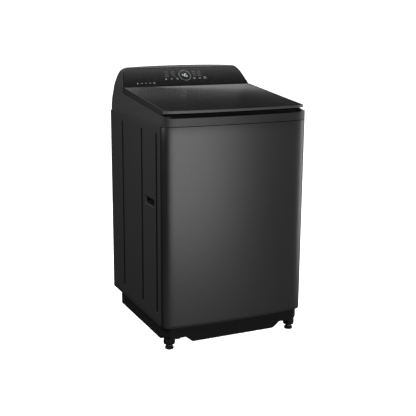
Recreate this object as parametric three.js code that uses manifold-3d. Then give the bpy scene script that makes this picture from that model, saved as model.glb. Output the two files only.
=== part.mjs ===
// Top load washing machine: painted cabinet on a plastic base with four feet, a sloping glass lid,
// an inclined touch console, and a hung tub with basket, pulsator, gearbox, motor and drain pump.
// Millimetres, +Z up. Front is -Y, left is -X, origin on the floor under the middle of the box.
import * as THREE from 'three';
import { mergeVertices } from 'three/addons/utils/BufferGeometryUtils.js';
import Module from 'manifold-3d';

const wasm = await Module();
wasm.setup();

// ---------------------------------------------------------------- driving dimensions
const GAP = 0.3;                 // clearance kept between neighbouring pieces
const HALF_WIDTH = 320;          // half the cabinet's width
const BOW = 13.4;                // how far the front panel swells past its corners
const FRONT_Y = -307.6;          // plane through the front corners
const BACK_Y = 321;              // plane of the back
const FRONT_RADIUS = 28;         // front corner radius in plan
const REAR_RADIUS = 14;          // rear corner radius in plan
const SHEET = 1.2;               // cabinet sheet
const SHELL = 3;                 // moulded wall
const PANEL_BOTTOM = 98;         // lower edge of the cabinet panels
const SEAM = 918;                // joint between the cabinet and the top cover
const TUB_Y = -4.6;              // spin axis, from the frame's middle
const ROUND = 28;                // segments of a large turned piece
const SMALL_ROUND = 12;          // segments of a small turned piece

const PANEL = { returnEnd: 30, grooveWidth: 17, grooveDepth: 3.5, grooveLow: 146, grooveHigh: 888,
  grooves: [72, 234, 464], flange: 24 };
const HANDLE = { middle: 148, z: 599, length: 116, height: 50, radius: 14, plate: 2.6,
  mouthLength: 84, mouthHeight: 20, mouthZ: 598, depth: 30 };
const BACK = { rimInset: 13.5, panX: 272, panLow: 170, panHigh: 896, panDepth: 22 };
const BASE = { halfWidth: 306, front: 10, rear: 578, low: 33, wall: 34, radius: 34, skirtLow: 25,
  skirtHalf: 184, skirtRise: 216, skirtDepth: 14, cutHeight: 50, cutDepth: 76 };
const FOOT = { x: 281, front: 39, rearX: 250, rear: 552, pad: 18, padHeight: 12, hex: 10, stem: 6,
  stemTop: 82, collar: 24, collarLow: 22, bossTop: 31 };
const COVER = { band: 949, corner: 955, step: 34, gapFront: 956.3, slope: 0.092, lidRear: 486,
  wall: 495, collarLow: 900, recessLow: 285, recessHigh: 300 };
const OPENING = { front: 58, rear: 410, halfWidth: 220, radius: 110 };
const FACE = { front: 492, low: 1026, rear: 561, high: 1098, plate: 4 };
const LID = { front: 12, under: 959.3, top: 977, topSlope: 0.1013, lip: 967, lipDepth: 44,
  rim: 34, glass: 4, border: 7, hingeY: 482.5, hingeZ: 1015.5, hingeX: 232, notch: 30, pin: 2.5 };
const LOCK = { x: 268, front: 130, width: 44, depth: 60, height: 30, slotX: 12, slotY: 22,
  strike: 6, strikeDrop: 24, bolt: 7 };
const DRAWER = { x: -40, width: 136, low: 944, high: 984, rear: 482, wall: 2.4, front: 413 };
const HANG = { reach: 238, rod: 4, plateLow: 886, plateHigh: 891, springLow: 268, springHigh: 329,
  lugLow: 330, lugHigh: 346, washer: 17, springRadius: 13.5, wire: 2.4, coils: 5, rodLow: 252 };
const TUB = { radius: 268, wall: 4, low: 250, high: 862, flange: 274, bore: 20, mouth: 218 };
const BASKET = { radius: 250, wall: 1.5, low: 284, high: 838, bore: 24, ringInner: 222 };
const WASH = { radius: 190, low: 292, rim: 306, crown: 342, ribs: 4, capTop: 351 };
const DRIVE = { shaft: 9, low: 126, pulley: 108, motorPulley: 27, pulleyLow: 130, pulleyHigh: 150,
  span: 176, angle: 0.52, motor: 62, motorLow: 164, boxRadius: 64, boxLow: 162 };
const PUMP = { x: -150, y: -110, low: 118, high: 188, radius: 38, cavity: 31, inlet: 12 };
const PORT = { drainX: -236, drainZ: 862, coldX: 146, hotX: 190, valveZ: 866, cordX: 236,
  cordZ: 800, spigot: 13 };

const fromFront = (distance) => distance + FRONT_Y;

// ---------------------------------------------------------------- solids
function toSolid(geometry) {
  const bare = geometry.clone();
  bare.deleteAttribute('normal');
  bare.deleteAttribute('uv');
  const merged = mergeVertices(bare, 1e-4);
  const mesh = new wasm.Mesh({ numProp: 3,
    vertProperties: new Float32Array(merged.attributes.position.array),
    triVerts: new Uint32Array(merged.index.array) });
  return new wasm.Manifold(mesh);
}

function toGeometry(solid) {
  const mesh = solid.getMesh();
  const geometry = new THREE.BufferGeometry();
  geometry.setAttribute('position', new THREE.BufferAttribute(new Float32Array(mesh.vertProperties), 3));
  geometry.setIndex(new THREE.BufferAttribute(new Uint32Array(mesh.triVerts), 1));
  geometry.computeVertexNormals();
  return geometry;
}

const join = (first, ...others) => others.reduce((all, next) => all.add(next), first);
const cut = (first, ...others) => others.reduce((all, next) => all.subtract(next), first);
const common = (first, ...others) => others.reduce((all, next) => all.intersect(next), first);

function block(x, y, z) {
  const geometry = new THREE.BoxGeometry(x[1] - x[0], y[1] - y[0], z[1] - z[0]);
  geometry.translate((x[0] + x[1]) / 2, (y[0] + y[1]) / 2, (z[0] + z[1]) / 2);
  return toSolid(geometry);
}

const shapeOf = (points) => new THREE.Shape(points.map(([u, v]) => new THREE.Vector2(u, v)));

// An outline in plan (x, y), raised between two heights.
function planSolid(outline, low, high) {
  const geometry = new THREE.ExtrudeGeometry(outline, { depth: high - low, bevelEnabled: false,
    curveSegments: 5 });
  geometry.translate(0, 0, low);
  return toSolid(geometry);
}

// An outline seen from the side (y, z), run from one x to another.
function sideSolid(points, left, right) {
  const geometry = new THREE.ExtrudeGeometry(shapeOf(points), { depth: right - left,
    bevelEnabled: false });
  geometry.applyMatrix4(new THREE.Matrix4().set(0, 0, 1, left, 1, 0, 0, 0, 0, 1, 0, 0, 0, 0, 0, 1));
  return toSolid(geometry);
}

// An outline seen from the front (x, z), run from one y to another.
function frontSolid(outline, near, far) {
  const geometry = new THREE.ExtrudeGeometry(outline, { depth: far - near, bevelEnabled: false,
    curveSegments: 4 });
  geometry.applyMatrix4(new THREE.Matrix4().set(1, 0, 0, 0, 0, 0, -1, far, 0, 1, 0, 0, 0, 0, 0, 1));
  return toSolid(geometry);
}

// A profile of [radius, height] pairs turned about a vertical axis at (x, y).
function turned(profile, x = 0, y = 0, segments = ROUND) {
  const onAxis = profile[0][0] === 0;
  const points = (onAxis ? profile : [...profile, profile[0]]).map(([r, z]) => new THREE.Vector2(r, z));
  const geometry = new THREE.LatheGeometry(points, segments);
  geometry.rotateX(Math.PI / 2);
  geometry.translate(x, y, 0);
  const solid = toSolid(geometry);
  return solid.volume() < 0 ? toSolid(flipped(geometry)) : solid;
}

function flipped(geometry) {
  const copy = geometry.clone();
  const index = Array.from(copy.index.array);
  for (let i = 0; i < index.length; i += 3) [index[i], index[i + 1]] = [index[i + 1], index[i]];
  copy.setIndex(index);
  return copy;
}

const rod = (radius, low, high, x, y, segments = SMALL_ROUND) =>
  turned([[0, low], [radius, low], [radius, high], [0, high]], x, y, segments);

// A round bar along Y.
function barAlongY(radius, near, far, x, z, segments = SMALL_ROUND) {
  const geometry = new THREE.CylinderGeometry(radius, radius, far - near, segments);
  geometry.translate(x, (near + far) / 2, z);
  return toSolid(geometry);
}

// A round bar along X.
function barAlongX(radius, left, right, y, z, segments = SMALL_ROUND) {
  const geometry = new THREE.CylinderGeometry(radius, radius, right - left, segments);
  geometry.rotateZ(Math.PI / 2);
  geometry.translate((left + right) / 2, y, z);
  return toSolid(geometry);
}

// A rounded rectangle between two corners.
function roundedRectangle(left, near, right, far, radius) {
  const shape = new THREE.Shape();
  shape.moveTo(left + radius, near);
  shape.lineTo(right - radius, near);
  shape.absarc(right - radius, near + radius, radius, -Math.PI / 2, 0);
  shape.lineTo(right, far - radius);
  shape.absarc(right - radius, far - radius, radius, 0, Math.PI / 2);
  shape.lineTo(left + radius, far);
  shape.absarc(left + radius, far - radius, radius, Math.PI / 2, Math.PI);
  shape.lineTo(left, near + radius);
  shape.absarc(left + radius, near + radius, radius, Math.PI, Math.PI * 1.5);
  return shape;
}

// ---------------------------------------------------------------- shared outlines
function arcPoints(x, y, radius, from, to, steps) {
  return Array.from({ length: steps + 1 }, (_, i) => {
    const angle = from + ((to - from) * i) / steps;
    return [x + radius * Math.cos(angle), y + radius * Math.sin(angle)];
  });
}

const bowAt = (x) => FRONT_Y - BOW * (1 - (x / (HALF_WIDTH - FRONT_RADIUS)) ** 2);

// The bowed front line with its two corners, drawn in from the outer face by an inset.
function frontLine(inset, end, radius = FRONT_RADIUS) {
  const middle = HALF_WIDTH - FRONT_RADIUS;
  const steps = 12;
  const bow = Array.from({ length: steps - 1 }, (_, i) => {
    const x = -middle + (2 * middle * (i + 1)) / steps;
    return [x, bowAt(x) + inset];
  });
  const low = FRONT_Y + FRONT_RADIUS;
  return [[-(HALF_WIDTH - inset), end],
    ...arcPoints(-middle, low, radius - inset, Math.PI, 1.5 * Math.PI, 5), ...bow,
    ...arcPoints(middle, low, radius - inset, 1.5 * Math.PI, 2 * Math.PI, 5),
    [HALF_WIDTH - inset, end]];
}

// The whole footprint of the top cover: bowed front, rounded rear corners.
function footprint(inset, rearRadius) {
  const x = HALF_WIDTH - inset;
  const y = BACK_Y - inset;
  const r = rearRadius;
  return shapeOf([...frontLine(inset, 0),
    ...arcPoints(x - r, y - r, r, 0, Math.PI / 2, 5),
    ...arcPoints(-x + r, y - r, r, Math.PI / 2, Math.PI, 5)]);
}

// Half the width of the upper body at each height: the sides lean in and close over the console.
const LEAN = [[320, 918], [318.5, 930], [316, 944], [311.5, 968], [306.5, 995], [302, 1025],
  [294.5, 1050], [284.5, 1078], [275, 1093], [263, 1101], [240, 1104.5], [120, 1108.4], [0, 1109.5]];

function leanSolid(inset) {
  const right = LEAN.map(([x, z]) => [Math.max(x - inset, 0), z > 1093 ? z - inset : z]);
  const left = right.slice(0, -1).reverse().map(([x, z]) => [-x, z]);
  const base = COVER.collarLow - 10;
  return frontSolid(shapeOf([[HALF_WIDTH - inset, base], ...right, ...left,
    [-(HALF_WIDTH - inset), base]]), FRONT_Y - 40, BACK_Y + 10);
}

const deckAt = (distance) => COVER.gapFront + COVER.slope * (distance - 9);
const lidUnderAt = (distance) => LID.under + COVER.slope * (distance - 9);
const lidTopAt = (distance) => LID.top + LID.topSlope * (distance - LID.front);

// ---------------------------------------------------------------- cabinet
function sidePanel() {
  const start = fromFront(PANEL.returnEnd) + GAP;
  const x = HALF_WIDTH;
  const outer = arcPoints(x - REAR_RADIUS, BACK_Y - REAR_RADIUS, REAR_RADIUS, 0, Math.PI / 2, 3);
  const inner = arcPoints(x - REAR_RADIUS, BACK_Y - REAR_RADIUS, REAR_RADIUS - SHEET, Math.PI / 2, 0, 3);
  const flangeX = x - REAR_RADIUS - PANEL.flange;
  const plan = shapeOf([[x, start], ...outer, [flangeX, BACK_Y], [flangeX, BACK_Y - SHEET],
    ...inner, [x - SHEET, start]]);
  let panel = planSolid(plan, PANEL_BOTTOM, SEAM - GAP);
  for (const distance of PANEL.grooves) panel = pressGroove(panel, fromFront(distance));
  const middle = fromFront(HANDLE.middle);
  const hole = handleOutline(middle, HANDLE.z, HANDLE.length + 2 * GAP, HANDLE.height + 2 * GAP);
  return panel.subtract(throughSide(hole, x - 12, x + 5));
}

function pressGroove(panel, y) {
  const half = PANEL.grooveWidth / 2;
  const groove = (grow, left, right) => throughSide(roundedRectangle(y - half - grow,
    PANEL.grooveLow - grow, y + half + grow, PANEL.grooveHigh + grow, half + grow - 0.1), left, right);
  const x = HALF_WIDTH;
  const bulge = groove(SHEET, x - SHEET - PANEL.grooveDepth, x - 0.5);
  return panel.add(bulge).subtract(groove(0, x - PANEL.grooveDepth, x + 5));
}

const handleOutline = (y, z, length, height) => roundedRectangle(y - length / 2, z - height / 2,
  y + length / 2, z + height / 2, HANDLE.radius);

// A shape drawn in (y, z) run along x.
function throughSide(shape, left, right) {
  const geometry = new THREE.ExtrudeGeometry(shape, { depth: right - left, bevelEnabled: false,
    curveSegments: 2 });
  geometry.applyMatrix4(new THREE.Matrix4().set(0, 0, 1, left, 1, 0, 0, 0, 0, 1, 0, 0, 0, 0, 0, 1));
  return toSolid(geometry);
}

function frontPanel() {
  const end = fromFront(PANEL.returnEnd);
  const outline = [...frontLine(0, end), ...frontLine(SHEET, end).reverse()];
  return planSolid(shapeOf(outline), PANEL_BOTTOM, SEAM - GAP);
}

function backPanel() {
  const x = HALF_WIDTH - SHEET - BACK.rimInset;
  const face = BACK_Y - SHEET - GAP;
  const floor = face - BACK.panDepth;
  const rim = block([-x, x], [face - SHEET, face], [PANEL_BOTTOM + 2, SEAM - 2]);
  const pan = (grow, near, far) => frontSolid(roundedRectangle(-BACK.panX - grow, BACK.panLow - grow,
    BACK.panX + grow, BACK.panHigh + grow, 24 + grow), near, far);
  const dished = rim.add(pan(SHEET, floor - SHEET, face)).subtract(pan(0, floor, face + 5));
  const ports = [[PORT.drainX, PORT.drainZ], [PORT.coldX, PORT.valveZ], [PORT.hotX, PORT.valveZ]]
    .map(([px, pz]) => barAlongY(PORT.spigot + GAP, floor - 10, floor + 4, px, pz));
  return cut(dished, ...ports, barAlongY(11.3, floor - 10, floor + 4, PORT.cordX, PORT.cordZ));
}

function handleCup() {
  const x = HALF_WIDTH;
  const y = fromFront(HANDLE.middle);
  const plate = throughSide(handleOutline(y, HANDLE.z, HANDLE.length, HANDLE.height),
    x - HANDLE.plate, x);
  const cup = (grow, left, right) => throughSide(roundedRectangle(y - HANDLE.mouthLength / 2 - grow,
    HANDLE.mouthZ - HANDLE.mouthHeight / 2 - grow, y + HANDLE.mouthLength / 2 + grow,
    HANDLE.mouthZ + HANDLE.mouthHeight / 2 + grow, 9 + grow), left, right);
  return plate.add(cup(2, x - HANDLE.depth, x - 1)).subtract(cup(0, x - HANDLE.depth + 2, x + 5));
}

// ---------------------------------------------------------------- base and feet
function baseFrame() {
  const b = BASE;
  const top = PANEL_BOTTOM - GAP;
  const near = fromFront(b.front);
  const far = fromFront(b.rear);
  const outer = planSolid(roundedRectangle(-b.halfWidth, near, b.halfWidth, far, b.radius), b.low, top);
  const inner = planSolid(roundedRectangle(-b.halfWidth + b.wall, near + b.wall + 22,
    b.halfWidth - b.wall, far - b.wall - 16, 20), b.low - 5, top + 5);
  const corner = (side) => block(side > 0 ? [b.skirtRise, 400] : [-400, -b.skirtRise],
    [near - 5, fromFront(b.cutDepth)], [0, b.cutHeight]);
  const body = cut(outer, inner, corner(1), corner(-1));
  const skirt = frontSolid(shapeOf([[-b.skirtHalf, b.skirtLow], [b.skirtHalf, b.skirtLow],
    [b.skirtRise, b.cutHeight], [b.skirtRise, 70], [-b.skirtRise, 70], [-b.skirtRise, b.cutHeight]]),
  near, near + b.skirtDepth);
  const bosses = feetPlaces().map(([x, y, rear]) => footBoss(x, y, rear));
  const bores = feetPlaces().map(([x, y]) => rod(FOOT.stem + GAP, 0, FOOT.stemTop + 4, x, y));
  return cut(join(body, skirt, ...bosses), ...bores);
}

const feetPlaces = () => [[-FOOT.x, fromFront(FOOT.front), 0], [FOOT.x, fromFront(FOOT.front), 0],
  [-FOOT.rearX, fromFront(FOOT.rear), 1], [FOOT.rearX, fromFront(FOOT.rear), 1]];

function footBoss(x, y, rear) {
  const top = PANEL_BOTTOM - GAP;
  const wide = rear ? FOOT.collar : FOOT.bossTop - 3;
  return turned([[0, FOOT.collarLow], [FOOT.collar - 3, FOOT.collarLow], [FOOT.collar, FOOT.collarLow + 4],
    [FOOT.collar, 42], [wide, 56], [wide, top], [0, top]], x, y, 12);
}

function foot(x, y) {
  const f = FOOT;
  return turned([[0, 0], [f.pad - 2, 0], [f.pad, 2], [f.pad, f.padHeight - 3], [f.pad - 4, f.padHeight],
    [f.hex, f.padHeight], [f.hex, f.collarLow - 2], [f.stem, f.collarLow - 2], [f.stem, f.stemTop],
    [0, f.stemTop]], x, y, 12);
}

// ---------------------------------------------------------------- top cover and console
// Side view of the cover's outer surface, with the deck under the lid and the console behind it.
function coverSide(inset, low, band = COVER.band) {
  const plateOff = FACE.plate + GAP;
  const run = Math.hypot(FACE.rear - FACE.front, FACE.high - FACE.low);
  const along = [(FACE.rear - FACE.front) / run, (FACE.high - FACE.low) / run];
  const back = plateOff + inset;
  const faceLow = [FACE.front + along[1] * back, FACE.low - along[0] * back];
  const faceHigh = [FACE.rear + along[1] * back, FACE.high - along[0] * back];
  const d = inset;
  return [[-30, low], [-30, band - d], [COVER.step - 6 + d, band - d],
    [COVER.step + d, deckAt(COVER.step) - d], [COVER.wall + d, deckAt(COVER.lidRear) - d],
    [COVER.wall + d, faceLow[1] - 4], faceLow, faceHigh,
    [FACE.rear + 1 + d, FACE.high + 2 - d], [FACE.rear + 8 + d, 1106 - d], [576, 1112 - d],
    [586 - d, 1104 - d], [600 - d, 1090 - d / 2], [612 - d, 1060], [622 - d, 968], [628.6 - d, 936],
    [628.6 - d, low]].map(([y, z]) => [fromFront(y), z]);
}

function topCover() {
  const low = SEAM;
  const side = HALF_WIDTH + 10;
  const raised = common(sideSolid(coverSide(0, low, COVER.corner), -side, side), leanSolid(0),
    planSolid(footprint(0, 30), low, 1200));
  const outer = raised.subtract(fingerRecess());
  const hollow = common(sideSolid(coverSide(SHELL, low - 20), -side, side), leanSolid(SHELL),
    planSolid(footprint(SHELL, 27), low - 20, 1200));
  const mouth = (grow, from, to) => planSolid(roundedRectangle(-OPENING.halfWidth - grow,
    fromFront(OPENING.front) - grow, OPENING.halfWidth + grow, fromFront(OPENING.rear) + grow,
    OPENING.radius + grow), from, to);
  const collar = common(mouth(SHELL, COVER.collarLow, 1200),
    sideSolid(coverSide(1, COVER.collarLow), -side, side));
  const shell = cut(join(outer.subtract(hollow), collar), mouth(0, COVER.collarLow - 5, 1250));
  return cut(join(shell, ...hingeKnuckles()), ...coverCuts());
}

// The dip along the front edge that lets fingers in under the lid.
function fingerRecess() {
  const c = COVER;
  const side = sideSolid([[-30, c.band], [c.step - 6, c.band], [c.step, deckAt(c.step)],
    [c.step, 1000], [-30, 1000]].map(([y, z]) => [fromFront(y), z]), -HALF_WIDTH, HALF_WIDTH);
  const across = [[-c.recessLow, c.band], [c.recessLow, c.band], [c.recessHigh, c.corner + 2],
    [c.recessHigh, 1000], [-c.recessHigh, 1000], [-c.recessHigh, c.corner + 2]];
  return common(side, frontSolid(shapeOf(across), FRONT_Y - 40, fromFront(c.step + 2)));
}

// Openings for the drawer, the lid lock's strike, the hinge pins and the rear service cover.
function coverCuts() {
  const d = DRAWER;
  const slit = block([d.x - d.width / 2 - 1, d.x + d.width / 2 + 1], [fromFront(OPENING.rear) - 4,
    fromFront(OPENING.rear) + 8], [d.low - 1, d.high + 1]);
  const strike = block([LOCK.x - LOCK.slotX / 2, LOCK.x + LOCK.slotX / 2],
    [fromFront(LOCK.front) - LOCK.slotY / 2, fromFront(LOCK.front) + LOCK.slotY / 2], [940, 990]);
  const pins = [-1, 1].map((s) => barAlongX(LID.pin + GAP, s * LID.hingeX - 30, s * LID.hingeX + 30,
    fromFront(LID.hingeY), LID.hingeZ));
  const service = block([-238, 238], [fromFront(600), fromFront(640)], [972, 1056]);
  return [slit, strike, ...pins, service];
}

function hingeKnuckles() {
  const y = fromFront(LID.hingeY);
  return [-1, 1].map((s) => {
    const x = s * LID.hingeX;
    const half = LID.notch / 2 - 3;
    const foot = block([x - half, x + half], [y - 5, fromFront(COVER.wall) + 1],
      [deckAt(LID.hingeY) - 2, LID.hingeZ - 6]);
    const neck = block([x - half, x + half], [y - 5, y + 5.5], [LID.hingeZ - 7, LID.hingeZ]);
    return join(foot, neck, barAlongX(5, x - half, x + half, y, LID.hingeZ));
  });
}

function consoleFace() {
  const run = Math.hypot(FACE.rear - FACE.front, FACE.high - FACE.low);
  const normal = [(FACE.high - FACE.low) / run, -(FACE.rear - FACE.front) / run];
  const t = FACE.plate;
  const slab = [[FACE.front, FACE.low], [FACE.rear, FACE.high],
    [FACE.rear + normal[0] * t, FACE.high + normal[1] * t],
    [FACE.front + normal[0] * t, FACE.low + normal[1] * t]].map(([y, z]) => [fromFront(y), z]);
  return common(sideSolid(slab, -HALF_WIDTH, HALF_WIDTH), leanSolid(1));
}

function consoleRearCover() {
  const outer = common(sideSolid(coverSide(0, SEAM), -237, 237), planSolid(footprint(0, 30), SEAM, 1200));
  const hollow = sideSolid(coverSide(SHELL, SEAM), -250, 250);
  return common(outer.subtract(hollow), block([-237, 237], [fromFront(603), fromFront(640)], [973, 1055]));
}

// ---------------------------------------------------------------- lid
function lidSide() {
  return [[LID.front, lidTopAt(LID.front)], [LID.front - 16, lidTopAt(LID.front) - 1],
    [LID.front - 16, LID.lip], [LID.front + 2, LID.lip], [LID.lipDepth, lidUnderAt(LID.lipDepth)],
    [COVER.lidRear, lidUnderAt(COVER.lidRear)], [COVER.lidRear, lidTopAt(COVER.lidRear)]]
    .map(([y, z]) => [fromFront(y), z]);
}

function lidPlan(inset, rear, radius) {
  const front = frontLine(0, fromFront(rear)).map(([x, y]) => [Math.sign(x) * Math.max(Math.abs(x) - inset, 0),
    y < fromFront(FRONT_RADIUS + 2) ? y + LID.front + inset : y]);
  return { front, radius };
}

function lidFrame() {
  const y0 = LID.front;
  const plan = (inset, rear) => shapeOf(lidPlan(inset, rear).front);
  const body = common(sideSolid(lidSide(), -HALF_WIDTH, HALF_WIDTH), leanSolid(0),
    planSolid(plan(0, COVER.lidRear), 900, 1100));
  const pocketLine = [[-20, lidTopAt(-20) - LID.glass - GAP], [500, lidTopAt(500) - LID.glass - GAP],
    [500, 1100], [-20, 1100]].map(([y, z]) => [fromFront(y), z]);
  const pocket = common(sideSolid(pocketLine, -HALF_WIDTH, HALF_WIDTH), leanSolid(LID.border - GAP),
    planSolid(plan(LID.border - GAP, COVER.lidRear - LID.border + GAP), 900, 1100));
  const window1 = planSolid(roundedRectangle(-HALF_WIDTH + 18 + LID.rim, fromFront(y0 + LID.rim + 8),
    HALF_WIDTH - 18 - LID.rim, fromFront(COVER.lidRear - LID.rim), 40), 900, 1100);
  return join(cut(body, pocket, window1, ...hingeNotches()), strikeTab());
}

function hingeNotches() {
  const y = fromFront(LID.hingeY);
  return [-1, 1].flatMap((s) => {
    const x = s * LID.hingeX;
    return [block([x - LID.notch / 2, x + LID.notch / 2], [y - 12, y + 20], [990, 1023.2]),
      barAlongX(LID.pin + GAP, x - 27, x + 27, y, LID.hingeZ)];
  });
}

function strikeTab() {
  const y = fromFront(LOCK.front);
  const under = lidUnderAt(LOCK.front);
  return cut(block([LOCK.x - LOCK.strike / 2, LOCK.x + LOCK.strike / 2], [y - 7, y + 7],
    [under - LOCK.strikeDrop, under + 3]), block([LOCK.x - 10, LOCK.x + 10], [y - 3.6, y + 3.6],
    [under - LOCK.strikeDrop + 3, under - LOCK.strikeDrop + 10]));
}

function lidGlass() {
  const slab = [[-20, lidTopAt(-20) - LID.glass], [500, lidTopAt(500) - LID.glass],
    [500, lidTopAt(500)], [-20, lidTopAt(-20)]].map(([y, z]) => [fromFront(y), z]);
  const plan = shapeOf(lidPlan(LID.border, COVER.lidRear - LID.border).front);
  return common(sideSolid(slab, -HALF_WIDTH, HALF_WIDTH), leanSolid(LID.border), planSolid(plan, 900, 1100));
}

const hingePin = (side) => barAlongX(LID.pin, side * LID.hingeX - 26, side * LID.hingeX + 26,
  fromFront(LID.hingeY), LID.hingeZ);

function lidBumper(side) {
  const y = fromFront(70);
  const top = deckAt(70);
  return rod(4, top + 0.7, top + 2.3, side * 290, y);
}

// ---------------------------------------------------------------- lid lock and dispenser
function lockHousing() {
  const y = fromFront(LOCK.front);
  const top = deckAt(LOCK.front - LOCK.depth / 2) - SHELL - 1.2;
  const body = block([LOCK.x - LOCK.width / 2, LOCK.x + LOCK.width / 2], [y - LOCK.depth / 2,
    y + LOCK.depth / 2], [top - LOCK.height, top]);
  const slot = block([LOCK.x - 6, LOCK.x + 6], [y - 11, y + 11], [top - 20, top + 5]);
  const channel = block([LOCK.x - LOCK.width / 2 + 3, LOCK.x + LOCK.width / 2 + 5], [y - 3.4, y + 3.4],
    boltHeights(0.3));
  return cut(body, slot, channel);
}

function boltHeights(grow) {
  const hole = lidUnderAt(LOCK.front) - LOCK.strikeDrop + 3;
  return [hole + 0.6 - grow, hole + 6.2 + grow];
}

function lockBolt() {
  const y = fromFront(LOCK.front);
  return block([LOCK.x + 6.5, LOCK.x + LOCK.width / 2 - 1], [y - 3, y + 3], boltHeights(0));
}

function drawerHousing() {
  const d = DRAWER;
  const near = fromFront(d.front) + 3;
  const far = fromFront(d.rear) + 3;
  const outer = block([d.x - d.width / 2 - 4, d.x + d.width / 2 + 4], [near, far], [d.low - 4, d.high + 4]);
  const inner = block([d.x - d.width / 2 - 1, d.x + d.width / 2 + 1], [near - 5, far - 2.4],
    [d.low - 1, d.high + 1]);
  return outer.subtract(inner);
}

function drawer() {
  const d = DRAWER;
  const near = fromFront(OPENING.rear) + 0.4;
  const far = fromFront(d.rear) - 1;
  const left = d.x - d.width / 2;
  const right = d.x + d.width / 2;
  const body = block([left, right], [near, far], [d.low, d.high]);
  const bay = (a, b) => block([a, b], [near + 4, far - d.wall], [d.low + d.wall, d.high + 5]);
  return cut(body, bay(left + d.wall, d.x + 14), bay(d.x + 16.4, right - d.wall));
}

// ---------------------------------------------------------------- hung tub
function hangPlaces() {
  return [['front_left', -1, -1], ['front_right', 1, -1], ['rear_left', -1, 1], ['rear_right', 1, 1]]
    .map(([name, sx, sy]) => ({ name, sx, sy, x: sx * HANG.reach, y: TUB_Y + sy * HANG.reach }));
}

function cornerBracket({ x, y, sx, sy }) {
  const wallX = sx * (HALF_WIDTH - SHEET - PANEL.grooveDepth - GAP);
  const wallY = sy < 0 ? FRONT_Y + SHEET + 2 : BACK_Y - BACK.panDepth - 4 * SHEET;
  const inX = x - sx * 20;
  const inY = y - sy * 20;
  const points = [[wallX, inY], [wallX, wallY - sy * 26], [wallX - sx * 26, wallY], [inX, wallY],
    [inX, y + sy * 8], [x - sx * 4, inY]];
  const ordered = sx * sy > 0 ? points : points.reverse();
  return cut(planSolid(shapeOf(ordered), HANG.plateLow, HANG.plateHigh),
    rod(HANG.rod + 1, HANG.plateLow - 5, HANG.plateHigh + 5, x, y));
}

function suspensionRod({ x, y }) {
  const h = HANG;
  return turned([[0, h.rodLow], [h.washer, h.rodLow + 4], [h.washer, h.springLow - 4],
    [h.rod + 3, h.springLow - 4], [h.rod, h.springLow - 0.6], [h.rod, h.plateHigh + GAP],
    [h.rod + 5, h.plateHigh + GAP + 1], [h.rod + 5, h.plateHigh + 8], [0, h.plateHigh + 12]],
  x, y, 12);
}

class Helix extends THREE.Curve {
  getPoint(t, target = new THREE.Vector3()) {
    const angle = t * Math.PI * 2 * HANG.coils;
    const low = HANG.springLow + HANG.wire - 3.4;
    const high = HANG.springHigh - HANG.wire;
    return target.set(HANG.springRadius * Math.cos(angle), HANG.springRadius * Math.sin(angle),
      low + (high - low) * t);
  }
}

function suspensionSpring({ x, y }) {
  const section = shapeOf(arcPoints(0, 0, HANG.wire, 0, Math.PI * 2 * (3 / 4), 3));
  const geometry = new THREE.ExtrudeGeometry(section, { steps: HANG.coils * 7, bevelEnabled: false,
    extrudePath: new Helix() });
  geometry.translate(x, y, 0);
  return toSolid(geometry);
}

function tub() {
  const t = TUB;
  const r = t.radius;
  const shell = turned([[t.bore, t.low], [r - 20, t.low], [r, t.low + 20], [r, t.high],
    [t.flange, t.high], [t.flange, t.high + 6], [r - t.wall, t.high + 6], [r - t.wall, t.low + 24],
    [r - 22, t.low + 6], [t.bore, t.low + 6]], 0, TUB_Y);
  const lugs = hangPlaces().map((place) => tubLug(place));
  const bores = hangPlaces().map(({ x, y }) => rod(HANG.rod + 4, 300, 380, x, y));
  const sump = rod(PUMP.inlet, t.low - 5, t.low + 10, PUMP.x, PUMP.y);
  return cut(join(shell, ...lugs), ...bores, sump);
}

function tubLug({ sx, sy }) {
  const angle = Math.atan2(sy, sx);
  const arm = new THREE.BoxGeometry(96, 46, HANG.lugHigh - HANG.lugLow);
  arm.translate(TUB.radius + 45, 0, (HANG.lugHigh + HANG.lugLow) / 2);
  arm.rotateZ(angle);
  arm.translate(0, TUB_Y, 0);
  return toSolid(arm);
}

function tubCover() {
  const t = TUB;
  const low = t.high + 6 + GAP;
  return turned([[t.mouth, low + 2], [t.mouth + 4, low], [t.flange, low], [t.flange, low + 6],
    [t.mouth + 16, low + 15], [t.mouth, low + 15]], 0, TUB_Y);
}

function basket() {
  const b = BASKET;
  const r = b.radius;
  return turned([[b.bore, b.low], [r - 50, b.low], [r - 6, b.low + 16], [r, b.low + 36], [r, b.high],
    [r - b.wall, b.high], [r - b.wall, b.low + 37], [r - 7.6, b.low + 17.6], [r - 50.5, b.low + 2],
    [b.bore, b.low + 2]], 0, TUB_Y);
}

function balanceRing() {
  const b = BASKET;
  const low = b.high + GAP;
  const top = TUB.high - 1;
  return turned([[b.ringInner + 6, low - 18], [b.radius - b.wall - 1, low - 18],
    [b.radius - b.wall - 1, low], [b.radius + 2, low], [b.radius + 2, top - 4], [b.radius - 3, top],
    [b.ringInner + 5, top], [b.ringInner, top - 6], [b.ringInner, low - 12]], 0, TUB_Y);
}

const basketHub = () => turned([[DRIVE.shaft + 4, TUB.low + 8], [46, TUB.low + 8],
  [96, BASKET.low - 8], [96, BASKET.low - GAP], [DRIVE.shaft + 4, BASKET.low - GAP]], 0, TUB_Y, 20);

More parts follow.
